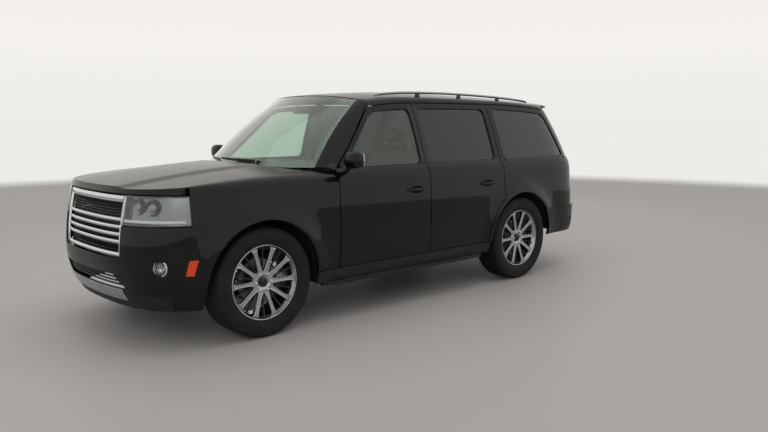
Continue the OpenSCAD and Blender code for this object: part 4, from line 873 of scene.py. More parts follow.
roof_p = []
for i in range(61):
    t = i / 60
    row = []
    for u in across(24):
        x = lerp(wind_top_x(u * roof_side_y) - 4, ROOF_REAR, t)
        y = -u * min(roof_side_y + 400 * t, roof_y(lerp(roof_front_x, ROOF_REAR, t)))
        row.append((x, y, roof_z(x, y)))
    roof_p.append(row)
piece("roof_skin", shell(roof_p, moved(roof_p, dz=-6)), paint, node="roof", bevel=2)
headliner = finish("knitted_polyester_headliner", "trim_black", "#8D8B86", "#989690", 2.5, 0.4,
                   Roughness=0.9)
piece("headliner", shell(moved(roof_p, dz=-8), moved(roof_p, dz=-ROOF_T)), headliner)
GATE_Y, GATE_X, DROP, HOOK_W = 160, -2190, 56, 24
GATE_Z = roof_z(GATE_X, GATE_Y) - 15
steel = finish("phosphated_steel", "paint_black", "#3A3B3C", "#4A4B4C", 6, 0.1, Metallic=1.0,
               Roughness=0.45)
arm_top = roof_z(ROOF_REAR, GATE_Y) - ROOF_T
hinge_arm = rod([(GATE_X + dx, GATE_Y, z) for dx, z in ((88, arm_top + 4), (67, arm_top - 2),
                                                        (64, GATE_Z - DROP - 2), (50, GATE_Z - DROP - 6),
                                                        (6, GATE_Z - DROP - 4), (0, GATE_Z - DROP + 12),
                                                        (0, GATE_Z + 2))], 7, 12, flat=1.5, up=(0, 1, 0))
pair("tailgate_hinge_arm_{}", hinge_arm, steel)
anodised = finish("satin_anodised_aluminium", "rail_silver", "#A3A5A8", "#B0B2B4", 1.5, 0.06,
                  stretch=(0.02, 1, 1), Metallic=1.0, Roughness=0.35)


def roof_row_x(i):
    return lerp(roof_front_x, ROOF_REAR, i / 12)


line, sizes, feet = [], [], []
for t in spread(1, 11, 80):
    x, k = roof_row_x(t), (t - 1) / 10
    lift = 26 * math.sin(math.pi * k) ** 0.35 if 0 < k < 1 else 0
    line.append((x, roof_y(x) - 34, roof_z(x, roof_y(x) - 34) + 12 + lift))
    sizes.append(6 + 6 * min(1, lift / 12))
for x in (roof_row_x(6), roof_row_x(3.4), roof_row_x(8.7)):
    y = roof_y(x) - 34
    feet.append(loft([[(x + a, y + b, roof_z(x, y + b) + h) for a, b in oval(30 * m, 13 * m, 24)]
                      for m, h in ((1.1, 0.5), (1, 8), (0.8, 30))]))
pair("roof_rail_bar_{}", rod(line, sizes, 14, flat=1.45), anodised, node="roof_rails")
pair("roof_rail_feet_{}", joined(*feet), piano)


# ---- Side rails ----
# The body-colour windshield pillars and the rails over the doors, one pressing each side, welded
# over the cabin frame that carries the hinges; the frame itself is sprayed satin black.
satin = finish("satin_black_chassis_paint", "chassis_black", "#111213", "#1A1B1C", 14, 0.08, Roughness=0.45)


def door_top(x):
    x2 = max(x, -2050)
    return (EAVE - 40 * (max(0, x - DOOR_B + 100) / (PILLAR_TOP - DOOR_B + 100)) ** 2
            - 60 * (max(0, DOOR_B - 1040 - x2) / 1100) ** 2)


def door_front_x(z):
    return DOOR_F - max(0, z - BELT) * PILLAR_SLOPE


def rail_pt(k, w, out=0):
    if k < 8:
        z = lerp(BELT + 4, EAVE - 40, k / 8)
        low = side_pt(door_front_x(z) + GAP * 1.4, z)
        high = wind_pt(k / 8, 1)
        high = (high[0], high[1] + 0.8, high[2])
    else:
        t = (k - 8) / 12
        x = lerp(PILLAR_TOP, ROOF_REAR, t)
        low = side_pt(x, door_top(x) + GAP)
        x = lerp(roof_front_x, ROOF_REAR, t)
        y = roof_y(x) + SEAM
        high = (x, y, roof_z(x, y))
    b = 14 * 4 * w * (1 - w) * 0.7 + out * 0.7
    return (lerp(low[0], high[0], w), lerp(low[1], high[1], w) + b, lerp(low[2], high[2], w) + b)


rail_ks = steps((0, 32), (8, 60), 20)
rail_p = [[rail_pt(k, w, 1.2) for w in spread(0, 1, 9)] for k in rail_ks]
rail_q = [[rail_pt(k, w, -4) for w in spread(0, 1, 9)] for k in rail_ks]
pair("side_rail_{}", shell(rail_p, rail_q), paint, bevel=1.5)
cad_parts["cabin_frame"].data.materials.clear()
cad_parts["cabin_frame"].data.materials.append(satin)


# ---- Doors and their glass ----
# Four steel doors with framed windows, hung on two strap hinges each. The glass is tempered: green
# tint in front, dark privacy glass behind. A rubber seal lines each opening, a grained card the inside.
DOOR_T, FRAME_T, WIN_FRONT, WIN_REAR = 95, 42, 60, 48
PIN_Y, FRONT_PIN, REAR_PIN = SIDE - 20, DOOR_F - 72, DOOR_B - 4 - 72
HINGE_Z = (MID - 140, MID + 190)
door_low = spread(SILL + GAP, SHOULDER, 5)
door_mid = [lerp(SHOULDER, BELT, t) for t in (0.35, 0.7, 1)]


def between(values, j):
    k = min(int(j), len(values) - 2)
    return lerp(values[k], values[k + 1], j - k)


def row_z(j, x, nominal=False):
    top = EAVE - 40 if nominal else door_top(x)
    rows = door_low + door_mid + [lerp(BELT_ROW, top - 45, t) for t in spread(0, 1, 5)] + [top]
    return between(rows, j)


def door_rear_x(z):
    h = max(0, z - TYRE_R)
    return max(DOOR_R, AXLE_R + math.sqrt(max(0, (ARCH_R + 52) ** 2 - h * h)))


def wall_at(z):
    return lerp(DOOR_T, FRAME_T, smooth((z - BELT + 45) / 60))


def rounded(v, corners, radius=52, reach=46):
    # Moves a point near a window corner so that the opening gets a rounded corner
    x, z = v
    for cx, cz, ex, ez in corners:
        a, b = (x - cx) * ex, (z - cz) * ez
        if a >= radius or b >= radius or (a > 0.5 and b > 0.5):
            continue
        fade = 1 - math.hypot(min(a, 0), min(b, 0)) / reach
        if fade <= 0:
            continue
        t = max(a, b, 0)
        g = math.radians(45) * (1 - t / radius)
        along, into = radius - radius * math.sin(g), radius - radius * math.cos(g)
        da, db = (along - t, into) if a >= b else (into, along - t)
        if a < 0.5 and b < 0.5:
            da = db = radius - radius * math.sin(math.radians(45))
        x, z = x + ex * da * fade, z + ez * db * fade
    return x, z


DOOR_J = steps((0, 20), (5, 12), (8, 4), (9, 26), (14, 4), 15)
DOOR_HOLE = (4, 38, 36, 62)


def hole_corners(plan, hole):
    # A window's corners in a grid, each with the directions out of the opening
    left, right, low, high = hole
    return [(*plan[i][j], ei, ej) for i, ei in ((left, -1), (right, 1)) for j, ej in ((low, 1), (high, -1))]


def hole_edge(grid, hole):
    # The grid's points once round the opening
    left, right, low, high = hole
    return [grid[i][j] for i, j in [(i, low) for i in range(left, right)]
            + [(right, j) for j in range(low, high)] + [(i, high) for i in range(right, left, -1)]
            + [(left, j) for j in range(high, low, -1)]]


def pane(grid, hole):
    left, right, low, high = hole
    return [row[low:high + 1] for row in grid[left:right + 1]]


def open_at(hole):
    # Which cells of a framed panel are there: all but the window's
    left, right, low, high = hole
    return lambda i, j: not (left <= i < right and low <= j < high)


def door_grid(x0, x1, w0, w1):
    plan = []
    for k in steps((0, 4), (1, 34), (2, 4), 3):
        row = []
        for j in DOOR_J:
            zn = row_z(j, 0, True)
            a, d = x0(zn), x1(zn)
            x = between((a, a - w0, d + w1, d), k)
            row.append((x, row_z(j, x)))
        plan.append(row)
    corners = hole_corners(plan, DOOR_HOLE)
    return [[side_pt(*rounded(v, corners)) for v in row] for row in plan]


def door_inner(p, bevel, wall=wall_at):
    return [[(v[0] + (bevel if i == len(p) - 1 else 0), v[1] - wall(v[2]), v[2]) for v in row]
            for i, row in enumerate(p)]


front_glass = glazing("green_tempered_glass", "glass_front", "#BFD2C6")
privacy = glazing("dark_privacy_glass", "glass_privacy", "#2C3230")
seal_rubber = finish("epdm_window_seal", "trim_black", "#0C0C0D", "#131314", 2.2, 0.2, Roughness=0.6)
card = finish("grained_black_door_card", "trim_black", "#1A1A1C", "#222224", 1.8, 0.4, pattern="pebble",
              Roughness=0.6)
cloth_card = finish("stitched_black_leatherette", "seat_leather", "#1C1B1B", "#262424", 1.4, 0.5,
                    pattern="pebble", Roughness=0.5)


def window_loop(p, inset, out):
    pts = hole_edge(p, DOOR_HOLE)
    cx, cz = sum(v[0] for v in pts) / len(pts), sum(v[2] for v in pts) / len(pts)
    loop = []
    for x, _, z in pts:
        r = math.hypot(x - cx, z - cz)
        x2, z2 = x + (cx - x) / r * inset, z + (cz - z) / r * inset
        loop.append((x2, side(x2, z2) - out, z2))
    return loop


def handle(x, z):
    # Pull handle: a bar bridging a recess, with a chrome insert
    y = side(x, z)
    path = [(x + 112, side(x + 112, z) - 3, z), (x + 104, y + 10, z + 1), (x + 84, y + 27, z + 2),
            (x + 30, y + 32, z + 2), (x - 40, y + 32, z + 2), (x - 84, y + 27, z + 2),
            (x - 104, y + 10, z + 1), (x - 112, side(x - 112, z) - 3, z)]
    fine = [tuple(lerp(a[i], b[i], t) for i in range(3)) for a,
            b in zip(path, path[1:]) for t in (0, 0.34, 0.67)]
    return rod(fine + [path[-1]], 13, 16, flat=0.55)


def cup(x, z):
    # Cutter for the hand recess behind a handle: a flattened bowl
    return loft([[(x + a, side(x, z) + d, z + b) for a, b in oval(78 * m, 30 * m, 32, 0.7, 0.8)]
                 for d, m in ((14, 1.06), (0, 1), (-13, 0.86), (-22.1, 0.6), (-26, 0.25))])


def door_card(p, arm_x0, arm_x1, door):
    # Trim panel over the door's inner face, with an armrest, a pull cup and a speaker grille
    face = [[(x, y - wall_at(z) - 2, z) for x, y, z in row[2:34]] for row in p[3:39]]
    back = [[(x, y - wall_at(z) - 3 - 10 * smooth(min(i, 35 - i) / 35 * 9) * smooth(min(n,
                                                                                        31 - n) / 31 * 7),
              z) for n, (x, y, z) in enumerate(row[2:34])] for i, row in enumerate(p[3:39])]
    pair(door + "_card", shell(face, back), card, door, bevel=1.5)
    y, rest = side(arm_x0, 905) - DOOR_T - 12, []
    for t in spread(0, 1, 14):
        k = smooth(min(t, 1 - t) * 6)
        rest.append([(lerp(arm_x0, arm_x1, t), y - (12 + 44 * k) / 2 + a, 905 + b)
                     for a, b in oval((12 + 44 * k) / 2, 16 + 12 * k, 24, 0.6)])
    pair(door + "_armrest", loft(rest), cloth_card, door)
    at = aimed((lerp(arm_x0, arm_x1, 0.12), side(arm_x0, 600) - DOOR_T - 13, 600), (0, -1, 0))
    pair(door + "_speaker", lathe([(0, 5), (60, 4), (78, 1), (82, -3), (82, -6), (0, -6)], at, 40), moulded,
         door)


front_p = door_grid(door_front_x, lambda z: DOOR_B + 4, WIN_FRONT, WIN_REAR)
rear_p = door_grid(lambda z: DOOR_B - 4, door_rear_x, WIN_REAR, WIN_FRONT)
for which, p, pin, glass, handle_x, arm in (("front", front_p, FRONT_PIN, front_glass, 120, (640, 120)),
                                            ("rear", rear_p, REAR_PIN, privacy, -850, (-330, -800))):
    door = which + "_door_{}"
    pockets = [block(pin - 17, pin + 82, PIN_Y - DOOR_T, PIN_Y + 12, z - 10, z + 20) for z in HINGE_Z]
    pair(door + "_skin", shell(p, door_inner(p, 16), open_at(DOOR_HOLE)), paint, door, node=door, bevel=2.5,
         holes=pockets + [cup(handle_x, 1012)])
    pins = [rod([(pin, PIN_Y, z - 12), (pin, PIN_Y, z + 22)], 5, 16, up=(1, 0, 0)) for z in HINGE_Z]
    pair(door + "_hinge_pins", joined(*pins), steel, door)
    window = pane(p, DOOR_HOLE)
    pair(door + "_pane", shell(moved(window, dy=-14), moved(window, dy=-18)), glass, door,
         which + "_glass_{}")
    loop = window_loop(p, 1, 11)
    pair(door + "_seal", rod(loop, 5, 8, closed=True, up=(0, 1, 0)), seal_rubber, door)
    pair(door + "_handle", handle(handle_x, 1012), paint, door, angle=60)
    door_card(p, *arm, door)
    # The gloss black fill between the two door windows
    post = [row[DOOR_HOLE[2]:DOOR_HOLE[3] + 3]
            for row in (p[DOOR_HOLE[1]:] if which == "front" else p[:DOOR_HOLE[0] + 1])]
    pair(door + "_pillar_trim", shell(moved(post, dy=0.9), moved(post, dy=-1.5)), piano, door)


# ---- Door mirrors ----
# A painted shell on a black foot, with a slim turn lamp across its nose and the silvered glass set
# into its rear face; the glass tilts inside the shell in the real one.
smoked = cover_glass("smoked_amber_polycarbonate", "lamp_red", "#5A3418")
mirror_x, mirror_z = DOOR_F - 95, BELT + 83
mirror_y0 = side(mirror_x, BELT + 40) + 62


def mirror_ring(t):
    # Cross-section of the shell at a share of its width, from the inner end to the tip
    full = 1 - (2 * abs(t - 0.48)) ** 4 * 0.35
    ring = []
    for g in round_in(36):
        c, s = math.cos(g), math.sin(g)
        ring.append((mirror_x + 6 + (62 if c > 0 else 38) * full * squared(c, 0.75), mirror_y0 + 170 * t,
                     mirror_z + 8 * t + 73 * full * (1 - 0.10 * t) * squared(s, 0.7)))
    return ring


mirror_skin = loft([[(mirror_x + 6 + (x - mirror_x - 6) * m, y, mirror_z + (z - mirror_z) * m) for x, y,
                     z in mirror_ring(t)] for t, m in ((0, 0.62), (0.012, 0.8), (0.05, 0.94), (0.12, 1),
                                                       (0.3, 1), (0.5, 1), (0.7, 1), (0.86, 0.98),
                                                       (0.94, 0.9), (0.985, 0.74), (1, 0.52))])
mirror_glass, glass_pocket = (loft([[(mirror_x - 33 + dx, mirror_y0 + 85 + a * m, mirror_z + 4 + b * m)
                                     for a, b in oval(74, 58, 48, 0.45)] for dx, m in rings])
                              for rings in (((-1.2, 1), (4, 1)), ((-30, 1.06), (-2, 1.05), (2, 1.03))))
foot_z = door_mid[1]
foot = loft([[(mirror_x + 4 + a, y, z + b) for a, b in oval(26, 17, 24)] for y,
             z in ((side(mirror_x, foot_z + 20) - 2, foot_z + 20), (mirror_y0 - 34, foot_z + 26),
                   (mirror_y0 - 6, foot_z + 40), (mirror_y0 + 30, BELT + 28), (mirror_y0 + 44, BELT + 44))])
lamp_line = [(max(v[0] for v in mirror_ring(t)) - (4 if 0.2 < t < 0.93 else 8), mirror_y0 + 170 * t,
              mirror_z - 8 + 8 * t) for t in spread(0.2, 0.93, 14)]
pair("mirror_shell_{}", mirror_skin, paint, "front_door_{}", "mirror_{}", holes=[glass_pocket])
pair("mirror_glass_{}", mirror_glass, mirror_face, "front_door_{}")
pair("mirror_foot_{}", foot, moulded, "front_door_{}")
pair("mirror_turn_lamp_{}", rod(lamp_line, 3.5, 10, flat=0.7), smoked, "front_door_{}")


# ---- Quarter panels and rear pillars ----
# The fixed steel sides behind the rear doors: the panel round the wheel arch, and the framed quarter
# window above it that turns the corner to the tailgate. A flap on the left covers the fuel filler.
ARCH_END = 180 - math.degrees(math.asin((BUMPER_TOP_R + SEAM - TYRE_R) / ARCH_R))


def quarter_base(k):
    if k <= 14:
        if k < 4:
            a = lerp(ARCH_START, 60, k / 4)
        else:
            a = lerp(60, 90, (k - 4) / 4) if k < 8 else lerp(90, ARCH_END, (k - 8) / 6)
        return (AXLE_R + ARCH_R * math.cos(math.radians(a)), TYRE_R + ARCH_R * math.sin(math.radians(a)))
    return (lerp(AXLE_R + ARCH_R * math.cos(math.radians(ARCH_END)), QUARTER_REAR, (k - 14) / 4),
            BUMPER_TOP_R + SEAM)


def quarter_top(k):
    if k <= 8:
        z = between(door_low + door_mid, k)
        dx = door_rear_x(z) - AXLE_R
        return (door_rear_x(z) - GAP * ((ARCH_R + 52) / dx if dx > DOOR_R - AXLE_R + 1 else 1), z)
    return (lerp(DOOR_R - GAP, QUARTER_REAR, (k - 8) / 10), BELT)


quarter_p = []
for k in spread(0, 18, 90):
    b, t = quarter_base(k), quarter_top(k)
    quarter_p.append([side_pt(lerp(b[0], t[0], v), lerp(b[1], t[1], v)) for v in spread(0, 1, 36)])
quarter = shell(quarter_p, moved(quarter_p, dy=-PANEL))
pair("quarter_panel_{}", quarter, paint, node="quarter_panels", bevel=2.5)
flap = []
for t in spread(-1, 1, 14):
    row = []
    for v in spread(-1, 1, 14):
        # Square turned to a rounded square
        a = t * math.sqrt(1 - 0.32 * v * v)
        b = v * math.sqrt(1 - 0.32 * t * t)
        row.append(side_pt(-1905 - 84 * a, 1062 + 78 * b))
    flap.append(row)
piece("fuel_flap", shell(moved(flap, dy=1.6), moved(flap, dy=-3)), paint, bevel=1.2)


def gate_y(z):
    return 0.80 * (half_w(z) - 10 * clamp((BELT_ROW - z) / 15))


def corner_x(z):
    return lerp(QUARTER_REAR + 60, QUARTER_REAR + 300, clamp((z - BELT) / (EAVE - BELT)))


def upper_z(j, x, nominal=False):
    if j < 1:
        return lerp(BELT + 0.3, BELT_ROW, j)
    top = EAVE - 50 if nominal else door_top(x)
    low_top = EAVE - 95 if nominal else top - 45
    return lerp(BELT_ROW, low_top, (j - 1) / 5) if j <= 6 else lerp(low_top, top, j - 6)


UP_J = steps((0, 3), (1, 24), (6, 4), 7)
QUARTER_HOLE = (4, 44, 3, 27)
pillar_ks = steps((0, 4), (1, 40), (2, 3), (3, 20), 4)
plan, pillar_p, pillar_q = [], [], []
for k in pillar_ks:
    # Flat along the side up to k = 3, as (x, z), then round the corner, as (angle, z)
    row = []
    for j in UP_J:
        x0, x1 = DOOR_R - GAP, corner_x(upper_z(j, 0, True))
        if k <= 3:
            x = between((x0, x0 - 70, x1 + 40, x1), k)
            row.append((x, upper_z(j, x)))
        else:
            z = upper_z(j, x1)
            row.append((lerp(angle_x(x1, z, False), angle_y(gate_y(z) + 12, z, False), k - 3), z))
    plan.append(row)
corners = hole_corners(plan, QUARTER_HOLE)
for k, row in zip(pillar_ks, plan):
    line = [side_pt(*rounded(v, corners, 60)) if k <= 3 else tail_pt(*v) for v in row]
    pillar_p.append(line)
    pillar_q.append([shifted(v, turned(min(1, 4 - k), 1), FRAME_T) for v in line])
pillar = shell(pillar_p, pillar_q, open_at(QUARTER_HOLE))
quarter_glass_p = pane(pillar_p, QUARTER_HOLE)
quarter_loop = [(x, y - 9, z) for x, y, z in hole_edge(pillar_p, QUARTER_HOLE)]
pair("rear_pillar_{}", pillar, paint, node="rear_pillars", bevel=2.5)
pair("quarter_window_{}", shell(moved(quarter_glass_p, dy=-12), moved(quarter_glass_p, dy=-17)), privacy,
     node="quarter_glass")
pair("quarter_window_seal_{}", rod(quarter_loop, 5, 8, closed=True, up=(0, 1, 0)), seal_rubber)


# ---- Rockers and running boards ----
# Grained covers under the doors, with a flat ribbed step on brackets from the sill.
rocker_p = [[side_pt(x, z) for z in spread(SILL - 100, SILL, 12)]
            for x in spread(AXLE_F - ARCH_R - 10, AXLE_R + ARCH_R + 10, 60)]
step_y = side(0, SILL - 100)
step = []
for x in spread(AXLE_R + ARCH_R + 90, AXLE_F - ARCH_R - 90, 30):
    end = smooth(min(x - AXLE_R - ARCH_R - 90, AXLE_F - ARCH_R - 90 - x) / 60)
    y1 = step_y - 30 + 58 * (0.3 + 0.7 * end)
    step.append([(x, step_y - 60 if k in (0, 3) else y1 - (4 if k == 1 else 0), z) for k, z in
                 ((0, SILL - 132), (1, SILL - 132), (2, SILL - 100), (3, SILL - 97))])
pair("rocker_{}", shell(rocker_p, moved(rocker_p, dy=-22)), moulded, node="rockers", bevel=3)
pair("step_{}", loft(step), moulded, bevel=4)
for name, x0, x1, middle in (("step_ribs", -760, -640, -700), ("step_ribs_front", 300, 940, 600)):
    rib = block(x0, x1, step_y - 44, step_y - 38, SILL - 99, SILL - 94.5)
    pair(name + "_{}", rib, seal_rubber, make=repeated, count=6, centre=(middle, 0, 0), axis=(0, 0, 1),
         step=(0, 11, 0), turn=0)
brackets = [block(x, x + 50, SIDE - 152, step_y - 21, SILL - 80, SILL - 30) for x in (-765, -60, 1015)]
pair("step_brackets_{}", joined(*brackets), satin, bevel=3)


# ---- Tail lamps ----
# Dark red acrylic covers that wrap the rear corners, over a housing with two light guides.
red_acrylic = finish("dark_red_acrylic", "lamp_red", "#4A0706", "#5C0A08", 30, 0.03, Roughness=0.06,
                     Transmission_Weight=0.35, IOR=1.49, Coat_Weight=1.0)
red_guide = finish("red_light_guide", "lamp_red", "#8E0D0A", "#A3120E", 8, 0.2, Roughness=0.25,
                   Emission_Color=linear("#A00D0A"), Emission_Strength=0.08)
GATE_LOW = BUMPER_TOP_R + GAP


def lamp_patch(a, b, n, z0, z1, m, depth):
    def at(t, z):
        f = lerp(angle_x(QUARTER_REAR - 0.8, z, False), angle_y(gate_y(z) + 12, z, False), t)
        return shifted(tail_pt(f, z), turned(1 - t, 1), depth)
    return [[at(t, z) for z in spread(z0, z1, m)] for t in spread(a, b, n)]


def lamp_plate(place, out, into):
    return shell(lamp_patch(*place, out), lamp_patch(*place, into))


tail_cover = lamp_plate((0, 1, 24, GATE_LOW, BELT - SEAM, 30), 0, 5)
tail_back = lamp_plate((0, 1, 16, GATE_LOW, BELT - SEAM, 16), 14, 40)
guides = [lamp_plate((a, a + 0.16, 6, GATE_LOW + 70, BELT - 60, 24), 6.5, 12) for a in (0.25, 0.62)]
reverse_lamp = lamp_plate((0.2, 0.9, 12, GATE_LOW + 14, GATE_LOW + 52, 4), -1, 6)
pair("tail_lamp_cover_{}", tail_cover, red_acrylic, node="tail_lamps", bevel=2)
pair("tail_lamp_housing_{}", tail_back, piano)
pair("tail_lamp_guides_{}", joined(*guides), red_guide)
pair("reversing_lamp_{}", reverse_lamp, reflector, bevel=2)


# ---- Tailgate and spoiler ----
# A one-piece steel lid with a privacy-glass window, a recess for a blank plate, a pull handle and a
# wiper. The spoiler closes the roof line over it and carries the high brake lamp.
GATE_T = 55


def tail_x(y, z):
    return TAIL_0 - tail_a(z) * max(0, 1 - min(1, abs(y) / half_w(z)) ** TAIL_PY) ** (1 / TAIL_PX)


def gate_top(y):
    return roof_z(ROOF_REAR - 130, y) - 45 - 0.3 - 20 * (abs(y) / 560) ** 2


def gate_z(j, y):
    if j <= 5:
        return lerp(GATE_LOW, BELT, j / 5)
    if j < 12:
        return upper_z(j - 5, corner_x(upper_z(j - 5, 0, True)))
    a = upper_z(7, corner_x(upper_z(7, 0, True)))
    return lerp(a, gate_top(y), j - 12)


GATE_J = steps((0, 30), (5, 3), (6, 24), (11, 4), (12, 5), 13)
GATE_HOLE = (5, 53, 33, 57)
gate_us = steps((1, 5), (5 / 6, 48), (-5 / 6, 5), -1)
gate_plan = []
for u in gate_us:
    row = []
    for j in GATE_J:
        y = u * gate_y(min(gate_z(j, 0), EAVE))
        row.append((y, gate_z(j, y)))
    gate_plan.append(row)
corners = hole_corners(gate_plan, GATE_HOLE)
gate_p = [[(tail_x(y, z), y, z) for y, z in (rounded(v, corners, 55, 60) for v in row)]
          for row in gate_plan]
recess_x = tail_x(0, 880)
recess = loft([[(recess_x + dx, a, 880 + b) for a, b in oval(285 * m, 92 * m, 48, 0.3)]
               for dx, m in ((-40, 1.04), (3, 1), (22, 0.95))])
piece("tailgate_panel", shell(gate_p, moved(gate_p, dx=GATE_T), open_at(GATE_HOLE)), paint, "tailgate",
      node="tailgate", bevel=2.5, holes=[recess])
plate_white = finish("painted_aluminium_plate", "trim_black", "#C9C9C6", "#D2D2CF", 12, 0.03,
                     Roughness=0.35)
piece("blank_plate", block(recess_x + 15, recess_x + 18, -155, 155, 804 + 3, 956 - 3), plate_white,
      "tailgate", bevel=1)
piece("tailgate_handle_bar", rod([(tail_x(y, 985) - 3, y, 985) for y in spread(-330, 330, 30)],
                                 [8] + [15] * 29 + [8], 14, flat=0.5), chrome, "tailgate")
gate_glass_p = pane(gate_p, GATE_HOLE)
piece("tailgate_window", shell(moved(gate_glass_p, dx=10), moved(gate_glass_p, dx=15)), privacy, "tailgate",
      node="tailgate_glass")
piece("tailgate_window_seal", rod([(x + 8, y, z) for x, y, z in hole_edge(gate_p, GATE_HOLE)], 5, 8,
                                  closed=True, up=(1, 0, 0)), seal_rubber, "tailgate")
# Foam seal that closes the gap between the lid and the spoiler's underside
seal_rows = []
for y in spread(-610, 610, 60):
    x = tail_x(y, gate_top(y)) + 20
    under = float(np.interp(abs(y), (0, 200, 400, 550, 650), (1776, 1773, 1758, 1758, 1750)))
    seal_rows.append([(x, y, gate_top(y) - 10), (x, y, under)])
piece("spoiler_seal", facing_out(*shell(seal_rows, moved(seal_rows, dx=12))), seal_rubber, "tailgate")
blade = [(tail_x(y, 1262) + 2, y, 1262 + 0.03 * y) for y in spread(20, 400, 16)]
piece("rear_wiper", joined(rod(blade, 6, 8, flat=0.6), rod([(tail_x(0, 1225) - 4, 0, 1225),
                                                            (tail_x(60, 1240) - 14, 60, 1243),
                                                            (tail_x(200, 1265) - 12, 200, 1269)],
                                                           [13, 9, 6], 12)), piano, "tailgate")
piece("tailgate_inner_trim", shell([[(v[0] + GATE_T + 1, v[1] * 0.93, v[2]) for v in row[3:30]]
                                    for row in gate_p[3:-3]], [[(v[0] + GATE_T + 12, v[1] * 0.92, v[2])
                                                                for v in row[3:30]]
                                                               for row in gate_p[3:-3]]), card, "tailgate",
      bevel=2)

SPOILER_X = ROOF_REAR - GAP - 2


def spoiler_y(x):
    return (half_w(EAVE) - 17) * max(0, 1 - ((TAIL_0 - x) / (TAIL_0 - ROOF_REAR + GAP + 240
                                                             + 6)) ** TAIL_PX) ** (1 / TAIL_PY)


spoiler_p, spoiler_q = [], []
for i in range(29):
    x = SPOILER_X - 240 * math.sin(math.pi / 2 * i / 28)
    row = [(x, -u * spoiler_y(x), roof_z(x, u * spoiler_y(x))) for u in across(24)]
    spoiler_p.append(row)
    thin = lerp(1, 0.45, smooth((i / 4 - 3) / 4))
    spoiler_q.append([(x, y, z - lerp(45, 18, smooth((abs(y) - 400) / 220)) * thin) for x, y, z in row])
slots = [block(GATE_X - 18, GATE_X + 31, s * GATE_Y - HOOK_W / 2 - 6, s * GATE_Y + HOOK_W / 2 + 6,
               GATE_Z - 60, GATE_Z + 10) for s in (1, -1)]
piece("spoiler_panel", shell(spoiler_p, spoiler_q), paint, "tailgate", node="spoiler", bevel=2.5,
      holes=slots)
piece("tailgate_hinge_pins", joined(*[rod([(GATE_X, s * GATE_Y - 20, GATE_Z),
                                           (GATE_X, s * GATE_Y + 20, GATE_Z)], 4, 16) for s in (1, -1)]),
      steel, "tailgate")
brake_x = SPOILER_X - 240
piece("high_brake_lamp", rod([(brake_x + 2 + 0.00006 * y * y, y, roof_z(brake_x, y) - 10)
                              for y in spread(-170, 170, 20)], 6.5, 10, flat=0.7), red_guide, "tailgate")


# ---- Rear bumper ----
# A grained cover over a beam on the frame, with a painted upper half, open under its middle for the
# towing socket, and reflectors near the corners.
def rear_patch(ks, zs, depth):
    # The cover lies 3 mm inside the body line, so that what is fixed on its face stays within it
    rows = []
    for k in ks:
        row = []
        for z in zs:
            end = AXLE_R - (ARCH_R if z <= TYRE_R else math.sqrt(ARCH_R ** 2 - (z - TYRE_R) ** 2))
            f = angle_x(end, z, False) * abs(k)
            x, y, h = shifted(tail_pt(f, z), corner_in(f, -1), depth + 3)
            row.append((x, -y if k < 0 else y, h))
        rows.append(row)
    return rows


def rear_plate(ks, zs, out, into, there=None):
    return shell(rear_patch(ks, zs, out), rear_patch(ks, zs, into), there)


rear_k = [1 - k / 60 for k in range(121)]
piece("rear_bumper_cover", rear_plate(rear_k, [405, 418, 430, 440, 465, 490, 525, 560, 595, 630, 662, 695],
                                      0, 30, lambda i, j: not (abs(rear_k[i] + rear_k[i + 1]) / 2 < 1 / 12
                                                               and j < 3)), paint, node="rear_bumper",
      bevel=3)
piece("rear_valance", rear_plate(spread(0.93, -0.93, 90), [443, 470, 500, 530, 556], -2.5, 3), moulded,
      bevel=2)
# The reflectors share the light guides' faint emission: a painted glow, since a reflector gives no light of
# its own
pair("rear_reflector_{}", rear_plate(spread(0.42, 0.30, 10), [585, 600, 615], -3, 3), red_guide, bevel=2)
pair("rear_bracket_{}", block(-2610, -2450.3, 380, 450, 475, 535), satin, bevel=3)
pad_k = spread(0.5, -0.5, 40)
pad_edges = [[row[0] for row in rear_patch(pad_k, [695], depth)] for depth in (30, 6)]
pad_top, pad_under = ([[(v[0] + 4, v[1], z) for v in pair] for pair in zip(*pad_edges)]
                      for z in (696.5, 694))
piece("rear_step_pad", facing_out(*shell(pad_top, pad_under)), moulded)


# ---- Wheels and tyres ----
# Cast and machined ten-spoke alloys, lacquered, on low-profile tyres with grooved treads. Six nuts on
# a 140 mm circle hold each to its hub; a vented cast-iron disc turns behind it, in a painted caliper.
alloy = finish("machined_lacquered_alloy", "alloy", "#A6A8AA", "#B9BBBD", 0.9, 0.05, Metallic=1.0,
               Roughness=0.24, Coat_Weight=0.6, Coat_Roughness=0.05)
alloy_dark = finish("painted_alloy_pocket", "alloy", "#2B2D2F", "#37393B", 6, 0.05, Metallic=0.6,
                    Roughness=0.4)
tyre_rubber = finish("black_tyre_rubber", "tyre", "#131313", "#1D1C1B", 2.5, 0.25, Roughness=0.72,
                     Specular_IOR_Level=0.3)
disc_iron = finish("turned_cast_iron_disc", "alloy", "#6A6866", "#7B7977", 0.6, 0.12, Metallic=1.0,
                   Roughness=0.34)
caliper_grey = finish("painted_caliper", "engine_iron", "#303234", "#3B3D3F", 5, 0.1, Roughness=0.4)


def wheel_frame(ax):
    # Axis along +Y, outwards on the left side
    return Matrix.Translation((ax, WHEEL_Y, TYRE_R)) @ Matrix.Rotation(math.radians(-90), 4, "X")


def radial(profile, widths, frame_at):
    # A spoke: sections across its radius from (r, outer height, inner height) and half-widths
    rings = []
    for (r, top, low), w in zip(profile, widths):
        ring = [(w * 0.82, top), (w, top - 4), (w * 0.86, low + 5), (w * 0.6, low), (-w * 0.6, low),
                (-w * 0.86, low + 5), (-w, top - 4), (-w * 0.82, top), (-w * 0.3, top - 1.5),
                (w * 0.3, top - 1.5)]
        rings.append(placed(frame_at, [(r, y, h) for y, h in ring]))
    return loft(rings)


